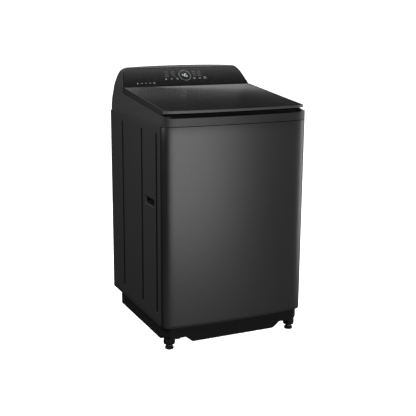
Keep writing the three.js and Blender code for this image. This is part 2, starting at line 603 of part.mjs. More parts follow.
function pulsator() {
  const w = WASH;
  const body = turned([[0, w.low], [w.radius - 4, w.low], [w.radius, w.low + 5], [w.radius - 3, w.rim],
    [120, w.rim - 2], [62, w.rim + 12], [30, w.crown - 6], [20, w.crown], [0, w.crown]], 0, TUB_Y, ROUND);
  const ribs = Array.from({ length: w.ribs }, (_, i) => {
    const rib = new THREE.ExtrudeGeometry(shapeOf([[24, w.low + 4], [w.radius - 10, w.low + 4],
      [w.radius - 12, w.rim + 16], [w.radius - 60, w.rim + 22], [60, w.rim + 20], [24, w.crown - 8]]),
    { depth: 22, bevelEnabled: false });
    rib.translate(0, 0, -11);
    rib.rotateX(Math.PI / 2);
    rib.rotateZ((i * 2 * Math.PI) / w.ribs);
    rib.translate(0, TUB_Y, 0);
    return toSolid(rib);
  });
  return join(body, ...ribs);
}

const pulsatorCap = () => turned([[0, WASH.crown + GAP], [19, WASH.crown + GAP],
  [18, WASH.crown + 4], [11, WASH.capTop - 1], [0, WASH.capTop]], 0, TUB_Y, 16);

// ---------------------------------------------------------------- drive
function pulley(x, y, radius, bore, top) {
  const d = DRIVE;
  const lip = radius + 3;
  const low = d.pulleyLow;
  const rim = [[lip, low], [lip, low + 3], [radius, low + 4], [radius, d.pulleyHigh - 4],
    [lip, d.pulleyHigh - 3], [lip, d.pulleyHigh]];
  if (bore === 0) return turned([[0, low], ...rim, [8, d.pulleyHigh], [8, top], [0, top]], x, y, 14);
  return turned([[bore, low], ...rim, [radius - 8, d.pulleyHigh], [radius - 8, low + 5],
    [30, low + 5], [24, top], [bore, top]], x, y, 20);
}

const motorPlace = () => [DRIVE.span * Math.cos(DRIVE.angle), TUB_Y + DRIVE.span * Math.sin(DRIVE.angle)];

function motor() {
  const [x, y] = motorPlace();
  const top = TUB.low - GAP;
  const d = DRIVE;
  return turned([[10, d.motorLow], [d.motor - 12, d.motorLow], [d.motor, d.motorLow + 12],
    [d.motor, top - 8], [d.motor + 12, top - 8], [d.motor + 12, top], [10, top]], x, y, 20);
}

function motorPulley() {
  const [x, y] = motorPlace();
  return pulley(x, y, DRIVE.motorPulley, 0, DRIVE.motorLow + 30);
}

// The closed line round two circles of different size, as a belt lies on them.
function beltLine(grow) {
  const [x, y] = motorPlace();
  const big = DRIVE.pulley + grow;
  const small = DRIVE.motorPulley + grow;
  const tilt = Math.acos((big - small) / DRIVE.span);
  const a = DRIVE.angle;
  return [...arcPoints(0, TUB_Y, big, a + tilt, a + 2 * Math.PI - tilt, 20),
    ...arcPoints(x, y, small, a - tilt, a + tilt, 10)];
}

function driveBelt() {
  const low = DRIVE.pulleyLow + 5;
  const high = DRIVE.pulleyHigh - 5;
  return planSolid(shapeOf(beltLine(4)), low, high).subtract(planSolid(shapeOf(beltLine(0.9)),
    low - 5, high + 5));
}

function gearbox() {
  const d = DRIVE;
  const top = TUB.low - GAP;
  return turned([[d.shaft + 2, d.boxLow], [40, d.boxLow], [d.boxRadius, d.boxLow + 14],
    [d.boxRadius, top - 12], [d.boxRadius + 24, top - 12], [d.boxRadius + 24, top], [d.shaft + 2, top]],
  0, TUB_Y, 20);
}

// ---------------------------------------------------------------- drain
function drainPump() {
  const p = PUMP;
  const body = rod(p.radius, p.low, p.high, p.x, p.y, 20);
  const neck = rod(p.inlet + 3, p.high - 1, p.high + 16, p.x, p.y);
  const spout = barAlongY(11, p.y + 20, p.y + 56, p.x, p.high - 26);
  const cavity = rod(p.cavity, p.high - 44, p.high - 6, p.x, p.y, 20);
  const throat = rod(p.inlet, p.high - 8, p.high + 20, p.x, p.y);
  const spoutBore = barAlongY(8, p.y + 20, p.y + 60, p.x, p.high - 26);
  return cut(join(body, neck, spout), cavity, throat, spoutBore);
}

function pumpImpeller() {
  const p = PUMP;
  const low = p.high - 42;
  const hub = turned([[0, low], [26, low], [26, low + 3], [8, low + 4], [8, low + 22], [0, low + 22]],
    p.x, p.y, 12);
  const blade = (turn) => {
    const geometry = new THREE.BoxGeometry(52, 3, 16);
    geometry.rotateZ(turn);
    geometry.translate(p.x, p.y, low + 11);
    return toSolid(geometry);
  };
  return join(hub, blade(0), blade(Math.PI / 3), blade((2 * Math.PI) / 3));
}

function sumpHose() {
  const p = PUMP;
  const low = p.high + 16 + GAP;
  const top = TUB.low - GAP;
  const r = p.inlet + 3;
  const third = (top - low) / 3;
  return turned([[p.inlet, low], [r, low], [r + 3, low + third / 2], [r, low + third],
    [r + 3, low + 1.5 * third], [r, low + 2 * third], [r + 3, low + 2.5 * third], [r, top],
    [p.inlet, top]], p.x, p.y, SMALL_ROUND);
}

function drainHose() {
  const p = PUMP;
  const level = p.high - 26;
  const rear = BACK_Y - BACK.panDepth - 46;
  const path = new THREE.CatmullRomCurve3([[p.x, p.y + 57, level], [p.x, p.y + 110, level],
    [p.x - 60, 110, level - 20], [-262, 190, level + 20], [-292, rear - 12, level + 120],
    [-294, rear - 8, 400], [-294, rear - 8, 740], [-284, rear - 6, 830], [-248, rear - 2, PORT.drainZ - 3],
    [PORT.drainX, rear + 6, PORT.drainZ], [PORT.drainX, rear + 14, PORT.drainZ]]
    .map((point) => new THREE.Vector3(...point)), false, 'centripetal');
  const section = shapeOf(arcPoints(0, 0, 12, 0, Math.PI * 2 * (7 / 8), 7));
  return toSolid(new THREE.ExtrudeGeometry(section, { steps: 26, bevelEnabled: false,
    extrudePath: path }));
}

// ---------------------------------------------------------------- ports and electrics
const panFloor = () => BACK_Y - SHEET - GAP - BACK.panDepth;

function drainOutlet() {
  const floor = panFloor();
  const inside = floor - SHEET - GAP;
  const tube = barAlongY(PORT.spigot, inside - 14, BACK_Y - 2, PORT.drainX, PORT.drainZ);
  const collar = barAlongY(20, inside - 4, inside, PORT.drainX, PORT.drainZ);
  const lip = barAlongY(PORT.spigot + 1.6, BACK_Y - 7, BACK_Y - 4, PORT.drainX, PORT.drainZ);
  const bore = barAlongY(PORT.spigot - 3, inside - 20, BACK_Y + 5, PORT.drainX, PORT.drainZ);
  return cut(join(tube, collar, lip), bore);
}

function inletValve(x) {
  const floor = panFloor();
  const inside = floor - SHEET - GAP;
  const z = PORT.valveZ;
  const body = block([x - 18, x + 18], [inside - 34, inside], [z - 20, z + 22]);
  const coil = rod(13, z - 46, z - 20 + 1, x, inside - 18);
  const spigot = barAlongY(PORT.spigot, inside - 1, BACK_Y - 2, x, z);
  const bore = barAlongY(9, floor - 2, BACK_Y + 5, x, z);
  return cut(join(body, coil, spigot), bore);
}

function cordGland() {
  const floor = panFloor();
  const ring = join(barAlongY(14, floor + GAP, floor + 5, PORT.cordX, PORT.cordZ),
    barAlongY(11, floor - SHEET - 4, floor + 1, PORT.cordX, PORT.cordZ));
  return ring.subtract(barAlongY(5, floor - 20, floor + 20, PORT.cordX, PORT.cordZ));
}

const controlBoard = () => block([-120, 90], [fromFront(552), fromFront(590)], [1000, 1014]);

const pressureSensor = () => rod(24, 940, 958, 180, fromFront(540), 20)
  .add(rod(4, 926, 941, 180, fromFront(540), 10));

// ---------------------------------------------------------------- finishes
const finish = (color, roughness, metalness) => ({ color, roughness, metalness });
const FINISH = {
  cabinet: finish(0x3c3d3f, 0.42, 0.35),
  front: finish(0x55565a, 0.36, 0.6),
  moulding: finish(0x37383a, 0.5, 0),
  trim: finish(0x4a4b4d, 0.4, 0.1),
  black: finish(0x17181a, 0.55, 0),
  glass: finish(0x050506, 0.08, 0),
  steel: finish(0xb9bcc0, 0.3, 0.9),
  zinc: finish(0x9a9da1, 0.4, 0.8),
  tubPlastic: finish(0xd8dadd, 0.5, 0),
  grey: finish(0x8a8d91, 0.5, 0),
  rubber: finish(0x101011, 0.8, 0),
  casting: finish(0x84868a, 0.5, 0.7),
  board: finish(0x14402a, 0.6, 0),
};

const group = new THREE.Group();
function addPiece(name, solid, look, mirror = false) {
  const material = new THREE.MeshStandardMaterial(look);
  const geometry = mirror ? flipped(toGeometry(solid).scale(-1, 1, 1)) : toGeometry(solid);
  geometry.computeVertexNormals();
  const mesh = new THREE.Mesh(geometry, material);
  mesh.name = name;
  group.add(mesh);
}

addPiece('right_side_panel', sidePanel(), FINISH.cabinet);
addPiece('left_side_panel', sidePanel(), FINISH.cabinet, true);
addPiece('front_panel', frontPanel(), FINISH.front);
addPiece('back_panel', backPanel(), FINISH.zinc);
addPiece('handle_right', handleCup(), FINISH.black);
addPiece('handle_left', handleCup(), FINISH.black, true);
addPiece('base_frame', baseFrame(), FINISH.black);
for (const [x, y, rear] of feetPlaces()) {
  addPiece(`foot_${rear ? 'rear' : 'front'}_${x < 0 ? 'left' : 'right'}`, foot(x, y), FINISH.rubber);
}
addPiece('top_cover', topCover(), FINISH.moulding);
addPiece('console_face', consoleFace(), FINISH.glass);
addPiece('console_rear_cover', consoleRearCover(), FINISH.moulding);
addPiece('control_board', controlBoard(), FINISH.board);
addPiece('pressure_sensor', pressureSensor(), FINISH.grey);

addPiece('lid_frame', lidFrame(), FINISH.trim);
addPiece('lid_glass', lidGlass(), FINISH.glass);
addPiece('lid_hinge_pin_left', hingePin(-1), FINISH.steel);
addPiece('lid_hinge_pin_right', hingePin(1), FINISH.steel);
addPiece('lid_bumper_left', lidBumper(-1), FINISH.rubber);
addPiece('lid_bumper_right', lidBumper(1), FINISH.rubber);
addPiece('lid_lock', lockHousing(), FINISH.black);
addPiece('lid_lock_bolt', lockBolt(), FINISH.grey);
addPiece('dispenser_housing', drawerHousing(), FINISH.grey);
addPiece('dispenser_drawer', drawer(), FINISH.tubPlastic);

for (const place of hangPlaces()) {
  addPiece(`corner_bracket_${place.name}`, cornerBracket(place), FINISH.zinc);
  addPiece(`suspension_rod_${place.name}`, suspensionRod(place), FINISH.steel);
  addPiece(`suspension_spring_${place.name}`, suspensionSpring(place), FINISH.steel);
}

addPiece('tub', tub(), FINISH.tubPlastic);
addPiece('tub_cover', tubCover(), FINISH.grey);
addPiece('basket', basket(), FINISH.steel);
addPiece('balance_ring', balanceRing(), FINISH.grey);
addPiece('basket_hub', basketHub(), FINISH.casting);
addPiece('pulsator', pulsator(), FINISH.grey);
addPiece('pulsator_cap', pulsatorCap(), FINISH.steel);
addPiece('drive_shaft', rod(DRIVE.shaft, DRIVE.low, WASH.low - GAP, 0, TUB_Y), FINISH.steel);
addPiece('drive_pulley', pulley(0, TUB_Y, DRIVE.pulley, DRIVE.shaft + GAP, DRIVE.pulleyHigh + 6),
  FINISH.casting);
addPiece('gearbox', gearbox(), FINISH.casting);
addPiece('motor', motor(), FINISH.zinc);
addPiece('motor_pulley', motorPulley(), FINISH.steel);
addPiece('drive_belt', driveBelt(), FINISH.rubber);
addPiece('drain_pump', drainPump(), FINISH.grey);
addPiece('pump_impeller', pumpImpeller(), FINISH.tubPlastic);
addPiece('sump_hose', sumpHose(), FINISH.rubber);
addPiece('drain_hose', drainHose(), FINISH.grey);

addPiece('drain_outlet', drainOutlet(), FINISH.grey);
addPiece('inlet_valve_cold', inletValve(PORT.coldX), FINISH.grey);
addPiece('inlet_valve_hot', inletValve(PORT.hotX), FINISH.grey);
addPiece('cord_gland', cordGland(), FINISH.rubber);

export default group;
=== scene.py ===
"""Top load washing machine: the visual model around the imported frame."""
import math

import bmesh
import bpy
from mathutils import Matrix, Vector


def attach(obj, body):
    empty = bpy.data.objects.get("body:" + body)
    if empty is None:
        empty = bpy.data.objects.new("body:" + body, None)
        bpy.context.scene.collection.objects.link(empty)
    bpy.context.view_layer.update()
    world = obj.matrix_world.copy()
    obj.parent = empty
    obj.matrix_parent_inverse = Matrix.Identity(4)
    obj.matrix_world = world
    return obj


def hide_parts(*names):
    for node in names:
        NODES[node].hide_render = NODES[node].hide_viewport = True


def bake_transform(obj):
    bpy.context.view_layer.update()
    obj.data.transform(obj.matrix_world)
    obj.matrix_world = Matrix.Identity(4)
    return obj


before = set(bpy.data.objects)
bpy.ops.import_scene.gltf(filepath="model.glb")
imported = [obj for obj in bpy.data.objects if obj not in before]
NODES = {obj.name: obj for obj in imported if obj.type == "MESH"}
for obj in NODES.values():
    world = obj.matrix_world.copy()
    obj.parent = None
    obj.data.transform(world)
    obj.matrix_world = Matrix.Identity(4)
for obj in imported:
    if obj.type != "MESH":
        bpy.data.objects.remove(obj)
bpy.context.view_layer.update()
for startup in [o for o in bpy.data.objects if o.type in ("LIGHT", "CAMERA")]:
    bpy.data.objects.remove(startup)

MM = 0.001
PI = math.pi

# ---------------------------------------------------------------- dimensions (mm, CAD frame)
# Half the width, how far the front bows out, the plane of the front corners, and the back.
HALF_W, BOW, FRONT_Y, BACK_Y = 320.0, 13.4, -307.6, 321.0
# The radii of the upright corners.
R_FRONT, R_REAR = 28.0, 14.0
# The lower edge of the panels and the seam between them and the top cover; then the tub's middle.
PANEL_LOW, SEAM = 98.0, 918.0
TUB_Y = -4.6
# The side of the upper body seen from the front: half width and height.
LEAN = [(320, 918), (318.5, 930), (316, 944), (311.5, 968), (306.5, 995), (302, 1025),
        (294.5, 1050), (284.5, 1078), (275, 1093), (263, 1101), (240, 1104.5), (120, 1108.4),
        (0, 1109.5)]


def front(distance):
    """Distance behind the plane of the front corners, as a y."""
    return distance + FRONT_Y


# ---------------------------------------------------------------- mesh helpers
def make(name, verts, faces, sharp=35.0):
    """A mesh object from points in millimetres, smooth except at its sharp edges."""
    mesh = bpy.data.meshes.new(name)
    mesh.from_pydata([(x * MM, y * MM, z * MM) for x, y, z in verts], [], faces)
    obj = bpy.data.objects.new(name, mesh)
    bpy.context.scene.collection.objects.link(obj)
    return tidy(obj, sharp)


def tidy(obj, sharp=35.0, merge=1e-6):
    """Merges doubles, turns the faces outwards and marks the sharp edges."""
    bm = bmesh.new()
    bm.from_mesh(obj.data)
    bmesh.ops.remove_doubles(bm, verts=bm.verts, dist=merge)
    bmesh.ops.recalc_face_normals(bm, faces=bm.faces)
    limit = math.radians(sharp)
    for face in bm.faces:
        face.smooth = True
    for edge in bm.edges:
        edge.smooth = len(edge.link_faces) == 2 and edge.calc_face_angle(0) < limit
    bm.to_mesh(obj.data)
    bm.free()
    return obj


def join(name, parts):
    """One object from several, keeping each one's shading."""
    bpy.ops.object.select_all(action="DESELECT")
    for part in parts:
        part.select_set(True)
    bpy.context.view_layer.objects.active = parts[0]
    bpy.ops.object.join()
    parts[0].name = parts[0].data.name = name
    return parts[0]


def apply_modifiers(obj):
    """Bakes the object's modifiers into its mesh."""
    graph = bpy.context.evaluated_depsgraph_get()
    done = bpy.data.meshes.new_from_object(obj.evaluated_get(graph))
    old = obj.data
    obj.modifiers.clear()
    obj.data = done
    bpy.data.meshes.remove(old)
    return obj


def boolean(obj, other, operation="DIFFERENCE"):
    """obj with the other closed mesh cut away (or joined, or kept in common)."""
    mod = obj.modifiers.new("b", "BOOLEAN")
    mod.operation, mod.object, mod.solver = operation, other, "MANIFOLD"
    apply_modifiers(obj)
    bpy.data.objects.remove(other)
    return obj


def bevel(obj, width, angle=35.0, segments=2):
    """Rounds the sharp edges of a mesh by a width in millimetres."""
    mod = obj.modifiers.new("r", "BEVEL")
    mod.width, mod.segments, mod.limit_method = width * MM, segments, "ANGLE"
    mod.angle_limit, mod.use_clamp_overlap = math.radians(angle), True
    mod.miter_outer = "MITER_ARC"
    apply_modifiers(obj)
    return tidy(obj, 40)


def thicken(obj, thickness, offset=-1):
    """Turns an open sheet into one of a thickness in millimetres."""
    mod = obj.modifiers.new("t", "SOLIDIFY")
    mod.thickness, mod.offset = thickness * MM, offset
    return apply_modifiers(obj)


def even_normals(obj):
    """Lets the large faces set the shading, so that cut surfaces stay clean."""
    mod = obj.modifiers.new("n", "WEIGHTED_NORMAL")
    mod.keep_sharp, mod.weight = True, 80
    return obj


def loft(rings, caps=True, closed=True):
    """Points and faces of a skin over rings that all have the same number of points."""
    count = len(rings[0])
    verts = [p for ring in rings for p in ring]
    faces = []
    last = count if closed else count - 1
    for k in range(len(rings) - 1):
        for i in range(last):
            a, b = k * count + i, k * count + (i + 1) % count
            faces.append((a, b, b + count, a + count))
    if caps:
        faces.append(tuple(range(count))[::-1])
        faces.append(tuple(range(len(verts) - count, len(verts))))
    return verts, faces


def revolve(name, profile, place, segments, sharp, closed):
    """A profile turned about an axis; place(radius, turn, along) gives a point."""
    count = len(profile)
    steps = count if closed else count - 1
    verts, faces = [], []
    for k in range(segments):
        turn, n = 2 * PI * k / segments, (k + 1) % segments
        verts += [place(r, turn, w) for r, w in profile]
        for i in range(steps):
            j = (i + 1) % count
            faces.append((k * count + i, n * count + i, n * count + j, k * count + j))
    return make(name, verts, faces, sharp)


def lathe(name, profile, x=0.0, y=0.0, segments=64, sharp=35.0, closed=False):
    """A profile of (radius, height) turned about a vertical axis; closed joins its two ends."""
    return revolve(name, profile, lambda r, a, w: (x + r * math.cos(a), y + r * math.sin(a), w),
                   segments, sharp, closed)


def turned_y(name, profile, x, z, segments=48):
    """A closed profile of (radius, y) turned about an axis that runs front to back."""
    return revolve(name, profile, lambda r, a, w: (x + r * math.cos(a), w, z + r * math.sin(a)),
                   segments, 35.0, True)


def gather(shapes):
    """One list of points and one of faces from several shapes."""
    verts, faces = [], []
    for points, sides in shapes:
        faces += [tuple(k + len(verts) for k in side) for side in sides]
        verts += points
    return verts, faces


def ease(t):
    """A smooth step from 0 to 1."""
    t = min(max(t, 0.0), 1.0)
    return t * t * (3 - 2 * t)


def circle(r, n, cx=0.0, cy=0.0):
    """The points of a circle."""
    return [(cx + r * math.cos(2 * PI * i / n), cy + r * math.sin(2 * PI * i / n)) for i in range(n)]


def arc(cx, cy, r, a0, a1, n):
    """The points of an arc, both ends included."""
    return [(cx + r * math.cos(a0 + (a1 - a0) * i / n), cy + r * math.sin(a0 + (a1 - a0) * i / n))
            for i in range(n + 1)]


def rounded_closed(points, radius, n=3):
    """A closed polygon with every corner rounded; a point's third value is a radius of its own."""
    out = []
    count = len(points)
    for i, p in enumerate(points):
        a, b, c = (Vector(points[i - 1][:2]), Vector(p[:2]), Vector(points[(i + 1) % count][:2]))
        u, v = (a - b), (c - b)
        r = min(radius if len(p) < 3 else p[2], u.length * 0.45, v.length * 0.45)
        p0, p1 = b + u.normalized() * r, b + v.normalized() * r
        for k in range(n + 1):
            t = k / n
            q = p0 * (1 - t) ** 2 + b * 2 * t * (1 - t) + p1 * t * t
            out.append((q.x, q.y))
    return out


def rect(cx, cy, hx, hy, r, n=6):
    """A rounded rectangle, counter-clockwise."""
    r = min(r, hx - 0.01, hy - 0.01)
    out = []
    for k, (sx, sy) in enumerate(((1, -1), (1, 1), (-1, 1), (-1, -1))):
        a = -PI / 2 + k * PI / 2
        out += arc(cx + sx * (hx - r), cy + sy * (hy - r), r, a, a + PI / 2, n)
    return out


def prism(name, outline, low, high, axis="z", edge=0.0):
    """An outline run along an axis, with its two rims rounded by edge."""
    place = {"z": lambda u, v, w: (u, v, w), "x": lambda u, v, w: (w, u, v),
             "y": lambda u, v, w: (u, w, v)}[axis]
    levels = [(0.0, 0.0)]
    if edge > 0:
        levels = [(edge * (1 - math.sin(PI / 6 * i)), edge * (1 - math.cos(PI / 6 * i))) for i in range(4)]
    rings = [(inset, low + rise) for inset, rise in levels]
    rings += [(inset, high - rise) for inset, rise in levels[::-1]]
    built = [[place(u, v, w) for u, v in shrink(outline, inset)] for inset, w in rings]
    return make(name, *loft(built))


def shrink(outline, inset):
    """An outline drawn in along its corner normals."""
    if inset == 0:
        return list(outline)
    count = len(outline)
    area = sum(outline[i - 1][0] * outline[i][1] - outline[i][0] * outline[i - 1][1]
               for i in range(count))
    side = 1 if area > 0 else -1
    out = []
    for i, p in enumerate(outline):
        a, c = Vector(outline[i - 1]), Vector(outline[(i + 1) % count])
        d = (c - a)
        if d.length < 1e-9:
            out.append(tuple(p))
            continue
        n = Vector((-d.y, d.x)).normalized() * side
        out.append((p[0] + n.x * inset, p[1] + n.y * inset))
    return out


# ---------------------------------------------------------------- materials
GRAIN_DEPTH = 0.0002


def nodes_of(material):
    """A new material's nodes and links, and its shader."""
    material.use_nodes = True
    tree = material.node_tree
    return tree.nodes, tree.links, tree.nodes["Principled BSDF"]


def surface(name, color, rough, metallic=0.0, grain=900.0, bump=0.05, vary=0.08, vary_scale=6.0,
            rough_vary=0.05, specular=0.5, stretch=(1, 1, 1)):
    """A procedural finish: slow colour drift, fine grain in the roughness and in the bump."""
    material = bpy.data.materials.new(name)
    nodes, links, shader = nodes_of(material)
    coords = nodes.new("ShaderNodeTexCoord")
    mapping = nodes.new("ShaderNodeMapping")
    mapping.inputs["Scale"].default_value = stretch
    links.new(coords.outputs["Object"], mapping.inputs["Vector"])
    slow = nodes.new("ShaderNodeTexNoise")
    slow.inputs["Scale"].default_value = vary_scale
    slow.inputs["Detail"].default_value = 3.0
    links.new(coords.outputs["Object"], slow.inputs["Vector"])
    fine = nodes.new("ShaderNodeTexNoise")
    fine.inputs["Scale"].default_value = grain
    fine.inputs["Detail"].default_value = 2.0
    links.new(mapping.outputs["Vector"], fine.inputs["Vector"])
    ramp = nodes.new("ShaderNodeMix")
    ramp.data_type = "RGBA"
    ramp.inputs["A"].default_value = tuple(c * (1 - vary) for c in color) + (1,)
    ramp.inputs["B"].default_value = tuple(min(1, c * (1 + vary)) for c in color) + (1,)
    links.new(slow.outputs["Fac"], ramp.inputs["Factor"])
    links.new(ramp.outputs["Result"], shader.inputs["Base Color"])
    spread = nodes.new("ShaderNodeMapRange")
    spread.inputs["To Min"].default_value = max(0.02, rough - rough_vary)
    spread.inputs["To Max"].default_value = min(1.0, rough + rough_vary)
    links.new(fine.outputs["Fac"], spread.inputs["Value"])
    links.new(spread.outputs["Result"], shader.inputs["Roughness"])
    if bump > 0:
        relief = nodes.new("ShaderNodeBump")
        relief.inputs["Strength"].default_value = bump
        relief.inputs["Distance"].default_value = GRAIN_DEPTH
        links.new(fine.outputs["Fac"], relief.inputs["Height"])
        links.new(relief.outputs["Normal"], shader.inputs["Normal"])
    shader.inputs["Metallic"].default_value = metallic
    shader.inputs["Specular IOR Level"].default_value = specular
    return material


def light_material(name, color, strength):
    """A lit mark, such as a digit behind the touch panel."""
    material = bpy.data.materials.new(name)
    nodes, links, shader = nodes_of(material)
    coords = nodes.new("ShaderNodeTexCoord")
    noise = nodes.new("ShaderNodeTexNoise")
    noise.inputs["Scale"].default_value = 300.0
    links.new(coords.outputs["Object"], noise.inputs["Vector"])
    mix = nodes.new("ShaderNodeMix")
    mix.data_type = "RGBA"
    mix.inputs["A"].default_value = tuple(c * 0.92 for c in color) + (1,)
    mix.inputs["B"].default_value = tuple(color) + (1,)
    links.new(noise.outputs["Fac"], mix.inputs["Factor"])
    links.new(mix.outputs["Result"], shader.inputs["Base Color"])
    links.new(mix.outputs["Result"], shader.inputs["Emission Color"])
    shader.inputs["Emission Strength"].default_value = strength
    shader.inputs["Roughness"].default_value = 0.4
    return material


M = {
    "front": surface("front_paint", (0.128, 0.1275, 0.128), 0.37, metallic=1.0, grain=700,
                     bump=0.03, vary=0.03, rough_vary=0.04, stretch=(1.0, 1.0, 0.02)),
    "side": surface("side_paint", (0.0345, 0.0343, 0.0347), 0.42, grain=1400, bump=0.06,
                    vary=0.05, specular=0.42),
    # groove_shade: painted shade, a near-black copy of the side paint put on groove walls, the front's top
    # roll and the handle pocket, where shade falls
    "groove_shade": surface("painted_groove_shade", (0.006, 0.006, 0.0065), 0.6, grain=1400, bump=0.06, specular=0.15),
    "cover": surface("cover_plastic", (0.05, 0.0498, 0.0505), 0.44, grain=1600, bump=0.06,
                     metallic=0.25, vary=0.05, specular=0.4),
    # band: the front band's metallic paint, also put on the up-facing ledge in the finger recess as painted
    # light, lighter than the shade under the lid
    "band": surface("band_paint_and_ledge_light", (0.087, 0.0868, 0.0875), 0.4, metallic=0.75, grain=1600, bump=0.05,
                    vary=0.04, specular=0.4),
    # edge_highlight: painted highlight, a light metallic grey put on the band's top edge and the lid's lower
    # front faces as thin highlight lines
    "edge_highlight": surface("painted_edge_highlight", (0.145, 0.1447, 0.1455), 0.42, metallic=0.45, grain=1600, bump=0.03, vary=0.04),
    "trim": surface("lid_trim", (0.026, 0.0263, 0.027), 0.34, grain=1600, bump=0.03, metallic=0.2,
                    vary=0.04),
    "black": surface("black_plastic", (0.010, 0.010, 0.0105), 0.5, grain=1200, bump=0.12,
                     vary=0.12, specular=0.35),
    "glass": surface("black_glass", (0.004, 0.004, 0.0045), 0.24, grain=40, bump=0.0, vary=0.05,
                     rough_vary=0.015, specular=0.5),
    "face": surface("touch_glass", (0.004, 0.004, 0.0045), 0.13, grain=60, bump=0.0, vary=0.05,
                    rough_vary=0.02, specular=0.5),
    "rubber": surface("rubber", (0.018, 0.018, 0.018), 0.8, grain=900, bump=0.2, vary=0.15,
                      specular=0.25),
    "zinc": surface("zinc_plate", (0.5, 0.51, 0.52), 0.42, metallic=0.9, grain=60, bump=0.03,
                    vary=0.16, vary_scale=45, rough_vary=0.1),
    "steel": surface("bright_steel", (0.62, 0.63, 0.64), 0.26, metallic=1.0, grain=500, bump=0.04,
                     vary=0.05, rough_vary=0.06, stretch=(1, 1, 0.05)),
    "galvanised": surface("galvanised_sheet", (0.36, 0.37, 0.38), 0.44, metallic=0.85, grain=90, bump=0.02,
                          vary=0.2, vary_scale=38, rough_vary=0.08),
    "drum": surface("drum_steel", (0.56, 0.57, 0.58), 0.3, metallic=1.0, grain=260, bump=0.02, vary=0.03,
                    rough_vary=0.05),
    "ring": surface("ring_plastic", (0.27, 0.275, 0.28), 0.42, grain=1200, bump=0.06, vary=0.04),
    "plate": surface("plate_plastic", (0.27, 0.275, 0.285), 0.36, grain=1000, bump=0.05, vary=0.04),
    "blue": surface("blue_plastic", (0.02, 0.09, 0.32), 0.42, grain=1200, bump=0.06, vary=0.05),
    "red": surface("red_plastic", (0.36, 0.02, 0.016), 0.42, grain=1200, bump=0.06, vary=0.05),
    "grey": surface("grey_plastic", (0.24, 0.245, 0.25), 0.48, grain=1200, bump=0.08, vary=0.05),
    "pale": surface("pale_plastic", (0.62, 0.63, 0.64), 0.45, grain=1200, bump=0.06, vary=0.04),
    "cast": surface("cast_aluminium", (0.42, 0.42, 0.43), 0.55, metallic=0.8, grain=400, bump=0.25,
                    vary=0.1),
    "board": surface("board", (0.02, 0.12, 0.06), 0.5, grain=200, bump=0.1, vary=0.3,
                     vary_scale=60),
    "mark": light_material("white_mark", (0.42, 0.43, 0.44), 0.16),
    "faint": light_material("faint_mark", (0.16, 0.165, 0.17), 0.04),
    "lit": light_material("lit_digit", (0.66, 0.69, 0.72), 0.2),
}


def paint_faces(obj, material, chosen):
    """Gives the chosen faces a material of their own: a finish, painted shade or a painted highlight."""
    obj.data.materials.append(M[material])
    for poly in obj.data.polygons:
        if chosen(poly):
            poly.material_index = len(obj.data.materials) - 1
    return obj


def dress(obj, material):
    """Gives an object one finish all over."""
    obj.data.materials.clear()
    obj.data.materials.append(M[material])
    return obj


def finish_piece(obj, body, material, slot, *replaced):
    """Finishes a piece: its material and body, and the CAD nodes it stands for. The slot argument is not
    used.
    """
    dress(obj, material)
    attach(obj, body)
    if replaced:
        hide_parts(*replaced)
    return obj


# ---------------------------------------------------------------- shared outlines
# Where the bow hands over to the corner, how far the corner's curve pulls, and where it meets the side.
BLEND, PULL_X, PULL_Y, WRAP = 252.0, 46.0, 21.0, 30.0


def bezier(p0, p1, p2, p3, n):
    """A cubic curve's points, both ends included."""
    out = []
    for i in range(n + 1):
        t = i / n
        w = ((1 - t) ** 3, 3 * t * (1 - t) ** 2, 3 * t * t * (1 - t), t ** 3)
        out.append(tuple(w[0] * p0[k] + w[1] * p1[k] + w[2] * p2[k] + w[3] * p3[k] for k in (0, 1)))
    return out


def front_line(inset, end, across=20, corner=16):
    """The bowed front blending into the sides, from the left side to the right side."""
    middle = HALF_W - R_FRONT
    bow = [(BLEND * i / across, FRONT_Y - BOW * (1 - (BLEND * i / across / middle) ** 2))
           for i in range(across)]
    y0 = FRONT_Y - BOW * (1 - (BLEND / middle) ** 2)
    slope = 2 * BOW * BLEND / middle ** 2
    side = (HALF_W, front(WRAP))
    right = bow + bezier((BLEND, y0), (BLEND + PULL_X, y0 + PULL_X * slope), (HALF_W, side[1] - PULL_Y), side,
                         corner)
    line = [(-x, y) for x, y in right[:0:-1]] + right
    line = [(-HALF_W, side[1] + 1)] + line + [(HALF_W, side[1] + 1)]
    if inset:
        line = offset_line(line, inset)
    line[0], line[-1] = (-(HALF_W - inset), end), (HALF_W - inset, end)
    return line


def offset_line(line, inset):
    """An open line moved to its left by a distance."""
    out = []
    for i, p in enumerate(line):
        a, b = Vector(line[max(i - 1, 0)]), Vector(line[min(i + 1, len(line) - 1)])
        d = (b - a).normalized()
        out.append((p[0] - d.y * inset, p[1] + d.x * inset))
    return out


# ---------------------------------------------------------------- cabinet
def build_front_panel():
    """The bowed sheet with rolled edges at its top and bottom."""
    end = front(WRAP)
    levels = [(3.2, PANEL_LOW + 3.0), (1.6, PANEL_LOW + 0.6), (0.6, PANEL_LOW + 0.05),
              (0.0, PANEL_LOW + 1.2)]
    levels += [(0.0, z) for z in range(110, 916, 62)]
    top = SEAM - 0.4
    levels += [(0.0, top - 2.2), (0.5, top - 0.6), (1.5, top), (3.2, top - 0.4)]
    rings = [[(x, y, z) for x, y in front_line(inset, end)] for inset, z in levels]
    obj = make("front_panel_skin", *loft(rings, False, closed=False), 50)
    outward(obj, (0, -1, 0))
    thicken(obj, 1.2)
    finish_piece(tidy(obj, 50), "cabinet", "front", "front_paint", "front_panel")
    # Painted shade: the top roll under the seam gets the near-black groove shade, so it reads as a dark seam
    # line
    return paint_faces(obj, "groove_shade", lambda poly: poly.center.z > (SEAM - 2.0) * MM)


